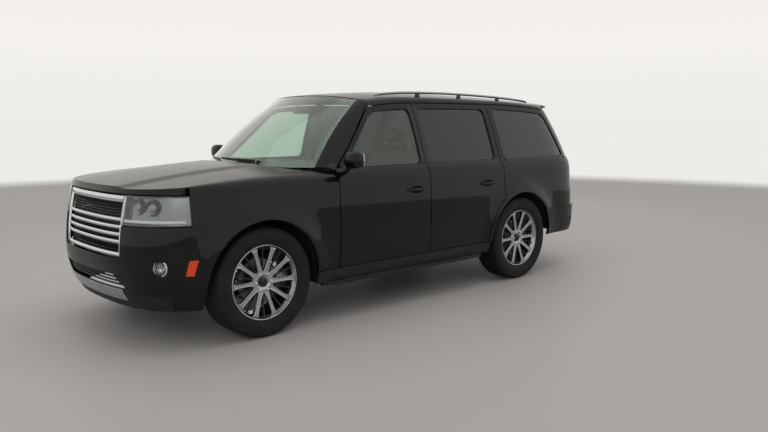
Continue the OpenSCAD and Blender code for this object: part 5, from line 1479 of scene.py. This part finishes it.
tyre_half = [(285.4, 112), (289, 119), (296, 124), (306, 126), (309, 129), (322, 133.5), (340, 136.6),
             (356, 137.4), (372, 136), (386, 132.5), (389, 133.5), (391, 131), (400, 126), (406, 120),
             (409, 112), (409.5, 104)]
tread_half = [(415, 98), (416.2, 94), (416.2, 68), (408.5, 66), (408.5, 58), (416.8, 56), (416.9, 26),
              (408.5, 24), (408.5, 16), (417, 14)]
tyre_profile = [(r, -h) for r, h in tyre_half] + [(r, -h) for r, h in tread_half] \
    + [(r, h) for r, h in reversed(tread_half)] + [(r, h) for r, h in reversed(tyre_half)] + [(285.4, -112)]
rim_profile = [(285, -115), (285, -106), (268, -98), (262, -88), (258, 20), (262, 70), (270, 92),
               (285, 104), (285, 114), (281, 116.5), (276, 114), (272, 104), (262, 92), (254, 70),
               (250, 20), (250, -84), (256, -108), (262, -115), (285, -115)]
for axle, ax in (("front", AXLE_F), ("rear", AXLE_R)):
    at = wheel_frame(ax)
    wheel, centre = axle + "_wheel_{}", tuple(at.translation)
    pair(wheel + "_tyre", lathe(tyre_profile, at, 144), tyre_rubber, wheel, axle + "_tyre_{}", angle=40)
    lug = facing_out(placed(at, [(407, -9, 98), (415.5, -9, 98), (414.6, -7, 108), (410.5, -6, 119),
                                 (403, -6, 122), (407, 9, 98), (415.5, 9, 98), (414.6, 11, 108),
                                 (410.5, 12, 119), (403, 12, 122)]),
                     [(0, 1, 2, 3, 4), (9, 8, 7, 6, 5), (0, 5, 6, 1), (1, 6, 7, 2), (2, 7, 8, 3),
                      (3, 8, 9, 4), (4, 9, 5, 0)])
    inner_lug = [(x, 2 * WHEEL_Y - y, z) for x, y, z in lug[0]], [f[::-1] for f in lug[1]]
    spoke = radial([(58, 88, 54), (90, 93, 56), (140, 96, 60), (200, 101, 66), (240, 105, 70),
                    (257, 106, 72), (266, 105, 78)], [23, 20, 16, 15.5, 18, 24, 30], at)
    slim = radial([(88, 72, 58), (140, 76, 60), (200, 82, 66), (246, 88, 70), (262, 92, 76)],
                  [6, 5.5, 5.5, 7, 11], at @ Matrix.Rotation(math.radians(18), 4, "Z"))
    nut = lathe([(0, 88), (11, 88), (11, 99), (8.5, 102), (0, 103), (0, 88)],
                at @ Matrix.Translation((66, 0, 0)), 6)
    for tag, part, mat, count, angle in (("shoulder_lugs_outer", lug, tyre_rubber, 84, 35),
                                         ("shoulder_lugs_inner", inner_lug, tyre_rubber, 84, 35),
                                         ("spokes", spoke, alloy, 10, 28),
                                         ("slim_spokes", slim, alloy_dark, 10, 28),
                                         ("nuts", nut, chrome, 6, 25)):
        pair(f"{wheel}_{tag}", part, mat, wheel, make=repeated, count=count, centre=centre, angle=angle)
    pair(wheel + "_rim", lathe(rim_profile, at, 120), alloy, wheel, axle + "_rim_{}", angle=30)
    hub = lathe([(0, 52), (84, 52), (90, 60), (92, 78), (84, 90), (60, 92), (44, 86), (40, 84), (0, 84),
                 (0, 52)], at, 60)
    boss = lathe([(34, -20), (66, -20), (66, 53), (34, 53), (34, -20)], at, 48)
    pair(wheel + "_hub", joined(hub, boss), alloy, wheel, angle=25)
    cap = lathe([(0, 84), (35, 84), (36.5, 88), (35, 93), (28, 95.5), (0, 97), (0, 84)], at, 48)
    pair(wheel + "_centre_cap", cap, piano, wheel, angle=25)
    disc = lathe([(70, -20), (172, -20), (172, -11), (168, -11), (168, -3), (172, -3), (172, 6), (70, 6),
                  (70, -20)], at, 96)
    pair(wheel + "_brake_disc", disc, disc_iron, wheel, angle=30)
    valve = rod(placed(at, [(248, 0, 78), (236, 0, 84), (226, 0, 88)]), [4.5, 3.5, 3.5], 10, up=(0, 1, 0))
    pair(wheel + "_valve", valve, seal_rubber, wheel)
    rings = []
    for t in spread(-26, 26, 14):
        g, k = math.radians((155 if axle == "front" else 25) + t), 1 - 0.12 * (t / 26) ** 2
        rings.append(placed(at, [(r * math.cos(g), r * math.sin(g), h) for r,
                                 h in ((118, 10), (118, 32 * k), (150, 36 * k), (186 * k + 8, 34 * k),
                                       (196 * k, 20), (196 * k, -36), (186 * k, -48), (140, -50 * k),
                                       (118, -46 * k), (118, -24), (176, -24), (176, 10))]))
    pair(f"brake_caliper_{axle}_{{}}", loft(rings), caliper_grey,
         "knuckle_{}" if axle == "front" else "body", bevel=3)


# ---- Suspension, axles and underbody ----
# Coil springs round telescopic dampers at each wheel, steering rods, and a propeller shaft between the
# gearbox and the rear axle. The frame, axles, tank, exhaust and engine block keep their CAD shapes.
spring_steel = finish("powder_coated_spring_steel", "chassis_black", "#1B1C1D", "#242526", 4, 0.1,
                      Roughness=0.5)
damper_steel = finish("zinc_plated_steel", "steel_dark", "#8E8F8E", "#9C9C9A", 3, 0.06, Metallic=1.0,
                      Roughness=0.4)
for name, x, y, z0, z1, r in (("front", AXLE_F + 70, 600, 320, 560, 52),
                              ("rear", AXLE_R + 110, 480, 380, 548, 50)):
    coil = [(x + r * math.cos(g), y + r * math.sin(g), lerp(z0, z1, g / (12 * math.pi)))
            for g in spread(0, 12 * math.pi, 150)]
    pair(name + "_spring_{}", rod(coil, 7, 8), spring_steel)
    damper = joined(rod([(x, y, z0 - 20), (x, y, z0 + 110)], 24, 20, up=(1, 0, 0)),
                    rod([(x, y, z0 + 100), (x, y, z1 + 14)], 9, 16, up=(1, 0, 0)))
    pair(name + "_damper_{}", damper, damper_steel)
piece("propeller_shaft", rod([(AXLE_F - 260, 40, 620), (AXLE_F - 420, 40, 560), (600, 20, 500),
                              (AXLE_R + 250, 0, 436), (AXLE_R + 110, 0, 420)], [60, 44, 36, 36, 50], 28),
      damper_steel)
piece("steering_rack", joined(rod([(AXLE_F - 150, y, TYRE_R + 4) for y in (-560, -380, 380, 560)],
                                  [12, 32, 32, 12], 24), rod([(AXLE_F - 150, -700, TYRE_R - 30),
                                                              (AXLE_F - 150, -560, TYRE_R + 4)], 10, 12),
                              rod([(AXLE_F - 150, 560, TYRE_R + 4), (AXLE_F - 150, 700, TYRE_R - 30)], 10,
                                  12)), spring_steel)
cast = finish("sand_cast_iron", "engine_iron", "#3B3D3E", "#4A4C4D", 2.2, 0.5, Metallic=0.7, Roughness=0.55)
stain = finish("heat_stained_stainless", "steel_dark", "#7A7268", "#8C8780", 18, 0.15, Metallic=1.0,
               Roughness=0.38)
carpet = finish("tufted_black_carpet", "trim_black", "#161616", "#202020", 3.0, 0.8, Roughness=0.95,
                Sheen_Weight=0.3)
felt = finish("moulded_fibre_liner", "trim_black", "#0E0E0E", "#171717", 5, 0.6, Roughness=0.95)
# The liners' outer lips turn out to the back of the arch, so that no daylight shows round the wheel
LINER_R, LINER_END = ARCH_R + 29, SIDE - 95
for name, ax in (("front", AXLE_F), ("rear", AXLE_R)):
    lip = []
    for g in [math.radians(a) for a in spread(175, 5, 60)]:
        x, z = ax + (ARCH_R + 7) * math.cos(g), TYRE_R + (ARCH_R + 7) * math.sin(g)
        lip.append([(ax + LINER_R * math.cos(g), LINER_END, TYRE_R + LINER_R * math.sin(g)),
                    (x, side(x, z) - 18, z)])
    thick = [[(ax + (x - ax) * 1.007, y, TYRE_R + (z - TYRE_R) * 1.007) for x, y, z in row] for row in lip]
    pair(f"liner_lip_{name}_{{}}", facing_out(*shell(lip, thick)), felt)
SPLASH_X = AXLE_F - ARCH_R - 30
pair("splash_panel_{}", block(SPLASH_X - 4, SPLASH_X, 560, 915, 330, 640), felt)
pair("sill_panel_{}", block(-905, 1130, 735, 770, 340, 559), paint, bevel=4)
piece("bell_housing", block(1131, 1439, -300, 300, 440, 940), cast, bevel=30)
for names, mat in ((("ladder_frame", "tow_receiver", "suspension", "radiator"), satin),
                   (("rear_axle", "knuckle_left", "knuckle_right", "engine"), cast),
                   (("fuel_tank",), moulded), (("exhaust",), stain), (("floor_pan",), carpet),
                   (("wheel_liners",), felt)):
    for n in names:
        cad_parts[n].data.materials.clear()
        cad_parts[n].data.materials.append(mat)


# ---- Dashboard, console and steering wheel ----
# Soft moulded panels over a beam: a hooded cluster, a wide dark screen, four vents with slats, a
# console with a lever and cup holders, and a leather-wrapped three-spoke wheel on its column.
soft_dash = finish("slush_moulded_dashboard", "trim_black", "#161617", "#1E1E20", 1.5, 0.45,
                   pattern="pebble", Roughness=0.62)
fire_x = DOOR_F + 150 - 25
INNER_Y = SIDE - 95 - 57 - 60
section = [(fire_x - 0.3, 905), (fire_x - 0.3, 1138), (DOOR_F + 60, 1163), (DOOR_F - 60, 1166),
           (DOOR_F - 118, 1160), (DOOR_F - 160, 1146), (DOOR_F - 196, 1124), (DOOR_F - 210, 1104),
           (DOOR_F - 204, 1066), (DOOR_F - 192, 1024), (DOOR_F - 150, 978), (DOOR_F - 70, 912)]
dash_rings = []
for y in spread(-INNER_Y + 12, INNER_Y - 12, 60):
    hood_up = 26 * math.exp(-((y - 390) / 175) ** 4)
    dash_rings.append([(x - (10 * math.cos(math.pi * y / 1600) if x < DOOR_F - 150 else 0), y,
                        z + (hood_up if 1140 < z < 1168 and x < DOOR_F else 0)) for x, z in section])
piece("dashboard_panel", loft(dash_rings), soft_dash, node="dashboard", angle=40)
screen_glass = finish("anti_glare_screen", "trim_black", "#050607", "#08090B", 30, 0.01, Roughness=0.12)
for name, y, w, z, h in (("cluster_screen", 390, 175, 1118, 46), ("centre_screen", 0, 150, 1070, 62)):
    x = DOOR_F - 216
    x -= 14 if name == "centre_screen" else 8
    piece(name, loft([[(x + dx, y + a, z + b) for a, b in oval(w, h, 56, 0.2)] for dx in (14, 0)]),
          screen_glass, bevel=2)
for y in (-640, -215, 215, 640):
    tag = f"{'l' if y > 0 else 'r'}{abs(y)}"
    piece(f"vent_frame_{tag}", rod([(DOOR_F - 216, y + a, 1100 + b) for a, b in oval(62, 30, 40, 0.4)], 4,
                                   8, closed=True, up=(1, 0, 0)), chrome)
    repeated(f"vent_slats_{tag}", block(DOOR_F - 218, DOOR_F - 200, y - 58, y + 58, 1077, 1079), piano, 6,
             (DOOR_F - 209, y, 1078), axis=(0, 0, 1), step=(0, 0, 9), turn=0)
console_rings = []
for x in spread(DOOR_B + 100, DOOR_F - 205, 30):
    t = (x - DOOR_B - 100) / (DOOR_F - 205 - DOOR_B - 100)
    top = 905 + 8 * math.cos(3 * t) if t > 0.45 else 918 - 6 * t
    console_rings.append([(x, y, z) for y, z in ((-128, 586), (-130, 700), (-128, top - 26),
                                                 (-116, top - 5), (-96, top), (96, top), (116, top - 5),
                                                 (128, top - 26), (130, 700), (128, 586))])
piece("centre_console", loft(console_rings), soft_dash, bevel=3, angle=40)
for k, (x, y) in enumerate(((430, 45), (430, -45))):
    piece(f"cup_holder_{k}", lathe([(37, 905), (41, 905), (42, 916), (40, 919), (37, 917), (37, 905)],
                                   Matrix.Translation((x, y, 0)), 36), chrome)
piece("gear_lever", joined(rod([(520, 0, 905), (516, 0, 960), (508, 0, 985)], [9, 8, 8], 14, up=(0, 1, 0)),
                           lathe([(0, 0), (15, 0), (24, 10), (27, 28), (22, 46), (0, 54)],
                                 Matrix.Translation((508, 0, 972)), 28)), cloth_card)
wheel_at = Matrix.Translation((DOOR_F - 330, 390, 1085)) @ Matrix.Rotation(math.radians(-65), 4, "Y")
leather_wheel = finish("perforated_wheel_leather", "seat_leather", "#151415", "#201E1F", 1.2, 0.5,
                       pattern="pebble", Roughness=0.48)
grip = placed(wheel_at, [(a, b, 0) for a, b in oval(174, 174, 96)])
axis_dir = tuple(wheel_at.to_3x3() @ Vector((0, 0, 1)))
piece("steering_wheel_grip", rod(grip, 15.6, 16, closed=True, up=axis_dir), leather_wheel, "steering_wheel",
      node="steering_wheel")
spokes = []
for g in (180, 270, 360):
    turn = wheel_at @ Matrix.Rotation(math.radians(g), 4, "Z")
    spokes.append(loft([placed(turn, [(r, a, b - 4) for a, b in ((w, h * 0.4), (w * 0.8, h), (-w * 0.8, h),
                                                                 (-w, h * 0.4), (-w * 0.9, -h * 0.5),
                                                                 (w * 0.9, -h * 0.5))]) for r, w,
                        h in ((30, 34, 15), (70, 26, 11), (120, 15, 8), (164, 19, 8))]))
piece("steering_wheel_spokes", joined(*spokes), satin, "steering_wheel", slot="trim_black", bevel=3)
piece("steering_wheel_pad", lathe([(0, 17), (40, 16), (56, 10), (61, 0), (58, -12), (40, -17), (0, -17)],
                                  wheel_at, 44), soft_dash, "steering_wheel")
piece("steering_shaft", lathe([(0, -109), (20, -109), (20, -15), (0, -15)], wheel_at, 28), satin,
      "steering_wheel", slot="steel_dark")
piece("column_shroud", lathe([(22, -214), (44, -214), (46, -160), (42, -116), (36, -111.5), (22, -111.5),
                              (22, -214)], wheel_at, 32), soft_dash)
for s, name in ((1, "turn"), (-1, "wiper")):
    a = wheel_at @ Vector((0, s * 30, -150))
    b = wheel_at @ Vector((0, s * 150, -128))
    piece(f"{name}_stalk", rod([tuple(a), tuple(a.lerp(b, 0.6)), tuple(b)], [8, 7, 10], 12), moulded)


# ---- Seats ----
# Leather over moulded foam on steel frames: two front seats, two second-row seats and a third-row
# bench, each with a sewn centre panel between bolsters. The covers are blown out by a cloth solver.
leather = finish("black_perforated_seat_leather", "seat_leather", "#171617", "#232122", 2.0, 0.35,
                 pattern="pebble", Roughness=0.46, Specular_IOR_Level=0.45)
thread = finish("grey_polyester_thread", "seat_leather", "#6D6D6C", "#7C7C7A", 1.0, 0.4, Roughness=0.8)


def superbox(centre, half, power=0.28, n=40, m=24):
    # Crowned closed form: a box whose sides pull in between its corners
    verts, faces = [], []
    cx, cy, cz = centre
    for j in range(1, m):
        b = math.pi * (j / m - 0.5)
        for i in range(n):
            g = 2 * math.pi * i / n
            cb, sb, cg, sg = math.cos(b), math.sin(b), math.cos(g), math.sin(g)
            k = abs(cb) ** power
            verts.append((cx + half[0] * k * math.copysign(abs(cg) ** power, cg),
                          cy + half[1] * k * math.copysign(abs(sg) ** power, sg),
                          cz + half[2] * math.copysign(abs(sb) ** (power * 2), sb)))
    low, high = len(verts), len(verts) + 1
    verts += [(cx, cy, cz - half[2]), (cx, cy, cz + half[2])]
    for j in range(m - 2):
        for i in range(n):
            a, b = j * n + i, j * n + (i + 1) % n
            faces.append((a, b, b + n, a + n))
    for i in range(n):
        faces.append((low, (i + 1) % n, i))
        faces.append((high, (m - 2) * n + i, (m - 2) * n + (i + 1) % n))
    return verts, faces


def leaned(part, z0, lean):
    return [(x - lean * (z - z0), y, z) for x, y, z in part[0]], part[1]


def stuffed(name, part, limit, voxel=9):
    # Remeshes a pad evenly, lets pressure swell it a little, and gives back its points and faces
    mesh = bpy.data.meshes.new(name)
    mesh.from_pydata([tuple(c / 1000 for c in v) for v in part[0]], [], part[1])
    obj = bpy.data.objects.new(name, mesh)
    bpy.context.scene.collection.objects.link(obj)
    even = obj.modifiers.new("even", "REMESH")
    even.mode, even.voxel_size = "VOXEL", voxel / 1000
    bpy.context.view_layer.update()
    mesh2 = bpy.data.meshes.new_from_object(obj.evaluated_get(bpy.context.evaluated_depsgraph_get()))
    obj.modifiers.clear()
    obj.data = mesh2
    start = np.array([v.co[:] for v in mesh2.vertices])
    cloth = obj.modifiers.new("cloth", "CLOTH")
    cloth.settings.use_pressure, cloth.settings.uniform_pressure_force = True, 4
    cloth.settings.effector_weights.gravity = 0
    cloth.point_cache.frame_end = 20
    for f in range(1, 21):
        bpy.context.scene.frame_set(f)
    swollen = bpy.data.meshes.new_from_object(obj.evaluated_get(bpy.context.evaluated_depsgraph_get()))
    end = np.array([v.co[:] for v in swollen.vertices])
    obj.modifiers.clear()
    bpy.context.scene.frame_set(1)
    move = end - start
    size = np.linalg.norm(move, axis=1, keepdims=True)
    start = start + move * np.minimum(1, limit / 1000 / np.maximum(size, 1e-9))
    bpy.data.meshes.remove(swollen)
    faces = [tuple(p.vertices) for p in mesh2.polygons]
    bpy.data.objects.remove(obj)
    return [tuple(v) for v in start * 1000], faces


def pad(name, part, seams=(), direction=(0, 0, 0), y0=0):
    # A leather pad that sinks along its sewn lines; each seam gives a point's distance from it
    verts = []
    for x, y, z in part[0]:
        down = sum(SEAM_DEPTH * math.exp(-(seam(x, y, z) / SEAM_WIDTH) ** 2) for seam in seams)
        verts.append((x - direction[0] * down, y + y0, z - direction[2] * down))
    obj = solid(name, (verts, part[1]))
    obj.data.shade_smooth()
    obj.data.materials.append(leather)
    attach(obj, "body")
    return obj


SEAM_DEPTH, SEAM_WIDTH = 7, 9
FLOOR = 585


def stitches(name, a, b, count):
    # A row of short raised threads from a to b
    d = [(b[i] - a[i]) / count for i in range(3)]
    stitch = rod([tuple(a[i] - d[i] * 0.32 for i in range(3)), tuple(a[i] + d[i] * 0.32 for i in range(3))],
                 0.9, 5, up=(0, 1, 0) if abs(d[1]) < 1 else (0, 0, 1))
    repeated(name, stitch, thread, count, a, axis=(0, 0, 1), step=d, turn=0)


def seat_shapes(name, x, w, cushion, back_h, voxel):
    base_z, lean = FLOOR + 245, 0.24
    seat_part = stuffed(name + "_a", superbox((x - cushion / 2 + 6, 0, base_z),
                                              (cushion / 2 - 12, w / 2 - 10, 62), 0.3), 14, voxel)
    z0 = FLOOR + 262
    back = leaned(superbox((x - cushion + 52, 0, z0 + back_h / 2), (46, w / 2 - 12, back_h / 2 - 8), 0.32),
                  z0 - 12, lean)
    return seat_part, stuffed(name + "_b", back, 12, voxel)


def seat_set(label, x, w, cushion, back_h, places, replaces_node, voxel=9):
    seat_part, back_part = seat_shapes(label, x, w, cushion, back_h, voxel)
    lean, z0 = 0.24, FLOOR + 250
    inner = w / 2 - 95
    lanes = [lambda x_, y_, z_, s=s: abs(y_ - s * inner) for s in (-1, 1)]
    cross = [lambda x_, y_, z_, q=q: (abs(x_ - (x - cushion * q)) if abs(y_) < inner else 99)
             for q in (0.3, 0.55)]
    cross_b = [lambda x_, y_, z_, q=q: (abs(z_ - (z0 + back_h * q)) if abs(y_) < inner else 99)
               for q in (0.35, 0.62)]
    for n, y in enumerate(places):
        tag = f"{label}_{n}"
        top = pad(tag + "_cushion", seat_part, lanes + cross, (0, 0, 1), y)
        pad(tag + "_backrest", back_part, lanes + cross_b, (1, 0, 0), y)
        if replaces_node and n == 0:
            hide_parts(replaces_node)
        z_top = FLOOR + 245 + 62 + 4
        for side_name, edge in (("r", y - inner + 9), ("l", y + inner - 9)):
            stitches(f"{tag}_stitch_{side_name}", (x - cushion + 90, edge, z_top), (x - 60, edge, z_top), 46)
        for k, dy in enumerate((0,) if w < 800 else (-w / 3.2, w / 3.2)):
            hx = x - cushion - lean * back_h + 52
            head = superbox((hx, y + dy, FLOOR + 249 + back_h + 78), (42, 118, 66), 0.45, 36, 20)
            pad(f"{tag}_headrest_{k}", head)
            posts = [rod([(hx, y + dy + s * 60, FLOOR + 225 + back_h),
                          (hx, y + dy + s * 60, FLOOR + 262 + back_h)], 6, 12, up=(1, 0, 0))
                     for s in (-1, 1)]
            piece(f"{tag}_headrest_posts_{k}", joined(*posts), chrome)
        plinth = block(x - cushion + 60, x - 60, y - w / 2 + 55, y + w / 2 - 55, FLOOR + 0.4, FLOOR + 185)
        piece(tag + "_plinth", plinth, moulded, bevel=12)


seat_set("front_seat", DOOR_B + 560, 520, 520, 560, (-390, 390), "front_seats")
seat_set("second_row_seat", DOOR_B - 330, 520, 480, 540, (-390, 390), "rear_seats")
seat_set("third_row_bench", AXLE_R + 180, 2 * (INNER_Y - 190) - 60, 430, 480, (0,), None, 12)


# ---- Studio ----
# A pale seamless backdrop that meets a grey floor at a far horizon, soft boxes overhead and beside,
# and a camera in front of the left corner at eye height.
def plain(name, colour, rough):
    mat = bpy.data.materials.new(name)
    mat.use_nodes = True
    tree = mat.node_tree
    shader = tree.nodes["Principled BSDF"]
    place = add(tree, "ShaderNodeTexCoord")
    cloud = add(tree, "ShaderNodeTexNoise", {"Vector": place.outputs["Object"], "Scale": 0.35, "Detail": 2})
    ramp = add(tree, "ShaderNodeValToRGB", {"Fac": cloud.outputs["Fac"]})
    tone = linear(colour)[:3]
    ramp.color_ramp.elements[0].color = [c * 0.96 for c in tone] + [1]
    ramp.color_ramp.elements[1].color = [min(1, c * 1.03) for c in tone] + [1]
    plug(tree, shader, {"Base Color": ramp.outputs["Color"], "Roughness": rough})
    return mat, tree, shader


floor_mat, tree, shader = plain("painted_concrete_floor", "#A9A5A3", 0.55)
# The floor's edge fades into the backdrop, so that no hard line crosses a view from any side
FLOOR_R = 16
place = add(tree, "ShaderNodeTexCoord")
out_from = add(tree, "ShaderNodeVectorMath", {"Vector": place.outputs["Object"]}, operation="LENGTH")
fade = add(tree, "ShaderNodeMapRange", {"Value": out_from.outputs["Value"], "From Min": FLOOR_R - 3,
                                        "From Max": FLOOR_R}, interpolation_type="SMOOTHSTEP")
gone = add(tree, "ShaderNodeBsdfTransparent")
edge = add(tree, "ShaderNodeMixShader", {0: fade.outputs["Result"], 1: shader.outputs[0], 2: gone.outputs[0]})
plug(tree, tree.nodes["Material Output"], {"Surface": edge.outputs[0]})
mesh = bpy.data.meshes.new("floor")
rim = [(FLOOR_R * math.cos(g), FLOOR_R * math.sin(g), 0) for g in spread(0, 2 * math.pi, 96)[:-1]]
mesh.from_pydata(rim, [], [tuple(range(len(rim)))])
mesh.materials.append(floor_mat)
floor = bpy.data.objects.new("floor", mesh)
bpy.context.scene.collection.objects.link(floor)

world = bpy.data.worlds.new("studio")
bpy.context.scene.world = world
world.use_nodes = True
tree = world.node_tree
tree.nodes.clear()
where = add(tree, "ShaderNodeTexCoord")
parts = add(tree, "ShaderNodeSeparateXYZ", {"Vector": where.outputs["Generated"]})
# The backdrop seen directly, in mirrors and through glass: brightest at the horizon
height = add(tree, "ShaderNodeMapRange", {"Value": parts.outputs["Z"], "From Min": 0.0, "From Max": 0.5})
seen = add(tree, "ShaderNodeValToRGB", {"Fac": height.outputs[0]})
seen.color_ramp.elements[0].color, seen.color_ramp.elements[1].color = linear("#ECEBE8"), linear("#EAE7E2")
middle = seen.color_ramp.elements.new(0.18)
middle.color = linear("#F4F1EC")
glow = add(tree, "ShaderNodeBackground", {"Color": seen.outputs["Color"], "Strength": 1.0})
light = add(tree, "ShaderNodeBackground", {"Color": linear("#F4F3F1"), "Strength": 0.74})
ray = add(tree, "ShaderNodeLightPath")
either = add(tree, "ShaderNodeMath", {0: ray.outputs["Is Camera Ray"], 1: ray.outputs["Is Glossy Ray"]},
             operation="MAXIMUM")
both = add(tree, "ShaderNodeMath", {0: either.outputs[0], 1: ray.outputs["Is Transmission Ray"]},
           operation="MAXIMUM")
mix = add(tree, "ShaderNodeMixShader", {0: both.outputs[0], 1: light.outputs[0], 2: glow.outputs[0]})
add(tree, "ShaderNodeOutputWorld", {"Surface": mix.outputs[0]})


def soft_box(name, at, look, size, size_y, watts):
    data = bpy.data.lights.new(name, "AREA")
    data.shape, data.size, data.size_y, data.energy = "RECTANGLE", size, size_y, watts
    lamp = bpy.data.objects.new(name, data)
    lamp.location = at
    lamp.rotation_euler = (Vector(look) - Vector(at)).to_track_quat("-Z", "Y").to_euler()
    # The paint mirrors the plain backdrop, not the edges of the boxes
    lamp.visible_glossy = False
    bpy.context.scene.collection.objects.link(lamp)


soft_box("overhead", (0.5, 0.5, 5.2), (0, 0, 0), 7.0, 4.0, 110)
soft_box("front_left", (6.5, 5.0, 3.6), (0.5, 0.2, 0.9), 3.5, 2.2, 70)
soft_box("rear_right", (-6.5, -5.0, 3.6), (-0.5, 0, 0.9), 3.5, 2.2, 60)

camera_data = bpy.data.cameras.new("camera")
camera_data.sensor_width = 36
camera_data.lens = 733.8 / 768 * 36
camera = bpy.data.objects.new("camera", camera_data)
camera.location = (4.66, 5.49, 1.62)
yaw, pitch = math.radians(-132.6), math.radians(-7.5)
aim = Vector((math.cos(yaw) * math.cos(pitch), math.sin(yaw) * math.cos(pitch), math.sin(pitch)))
camera.rotation_euler = aim.to_track_quat("-Z", "Y").to_euler()
bpy.context.scene.collection.objects.link(camera)
bpy.context.scene.camera = camera
bpy.context.scene.view_settings.view_transform = "Standard"
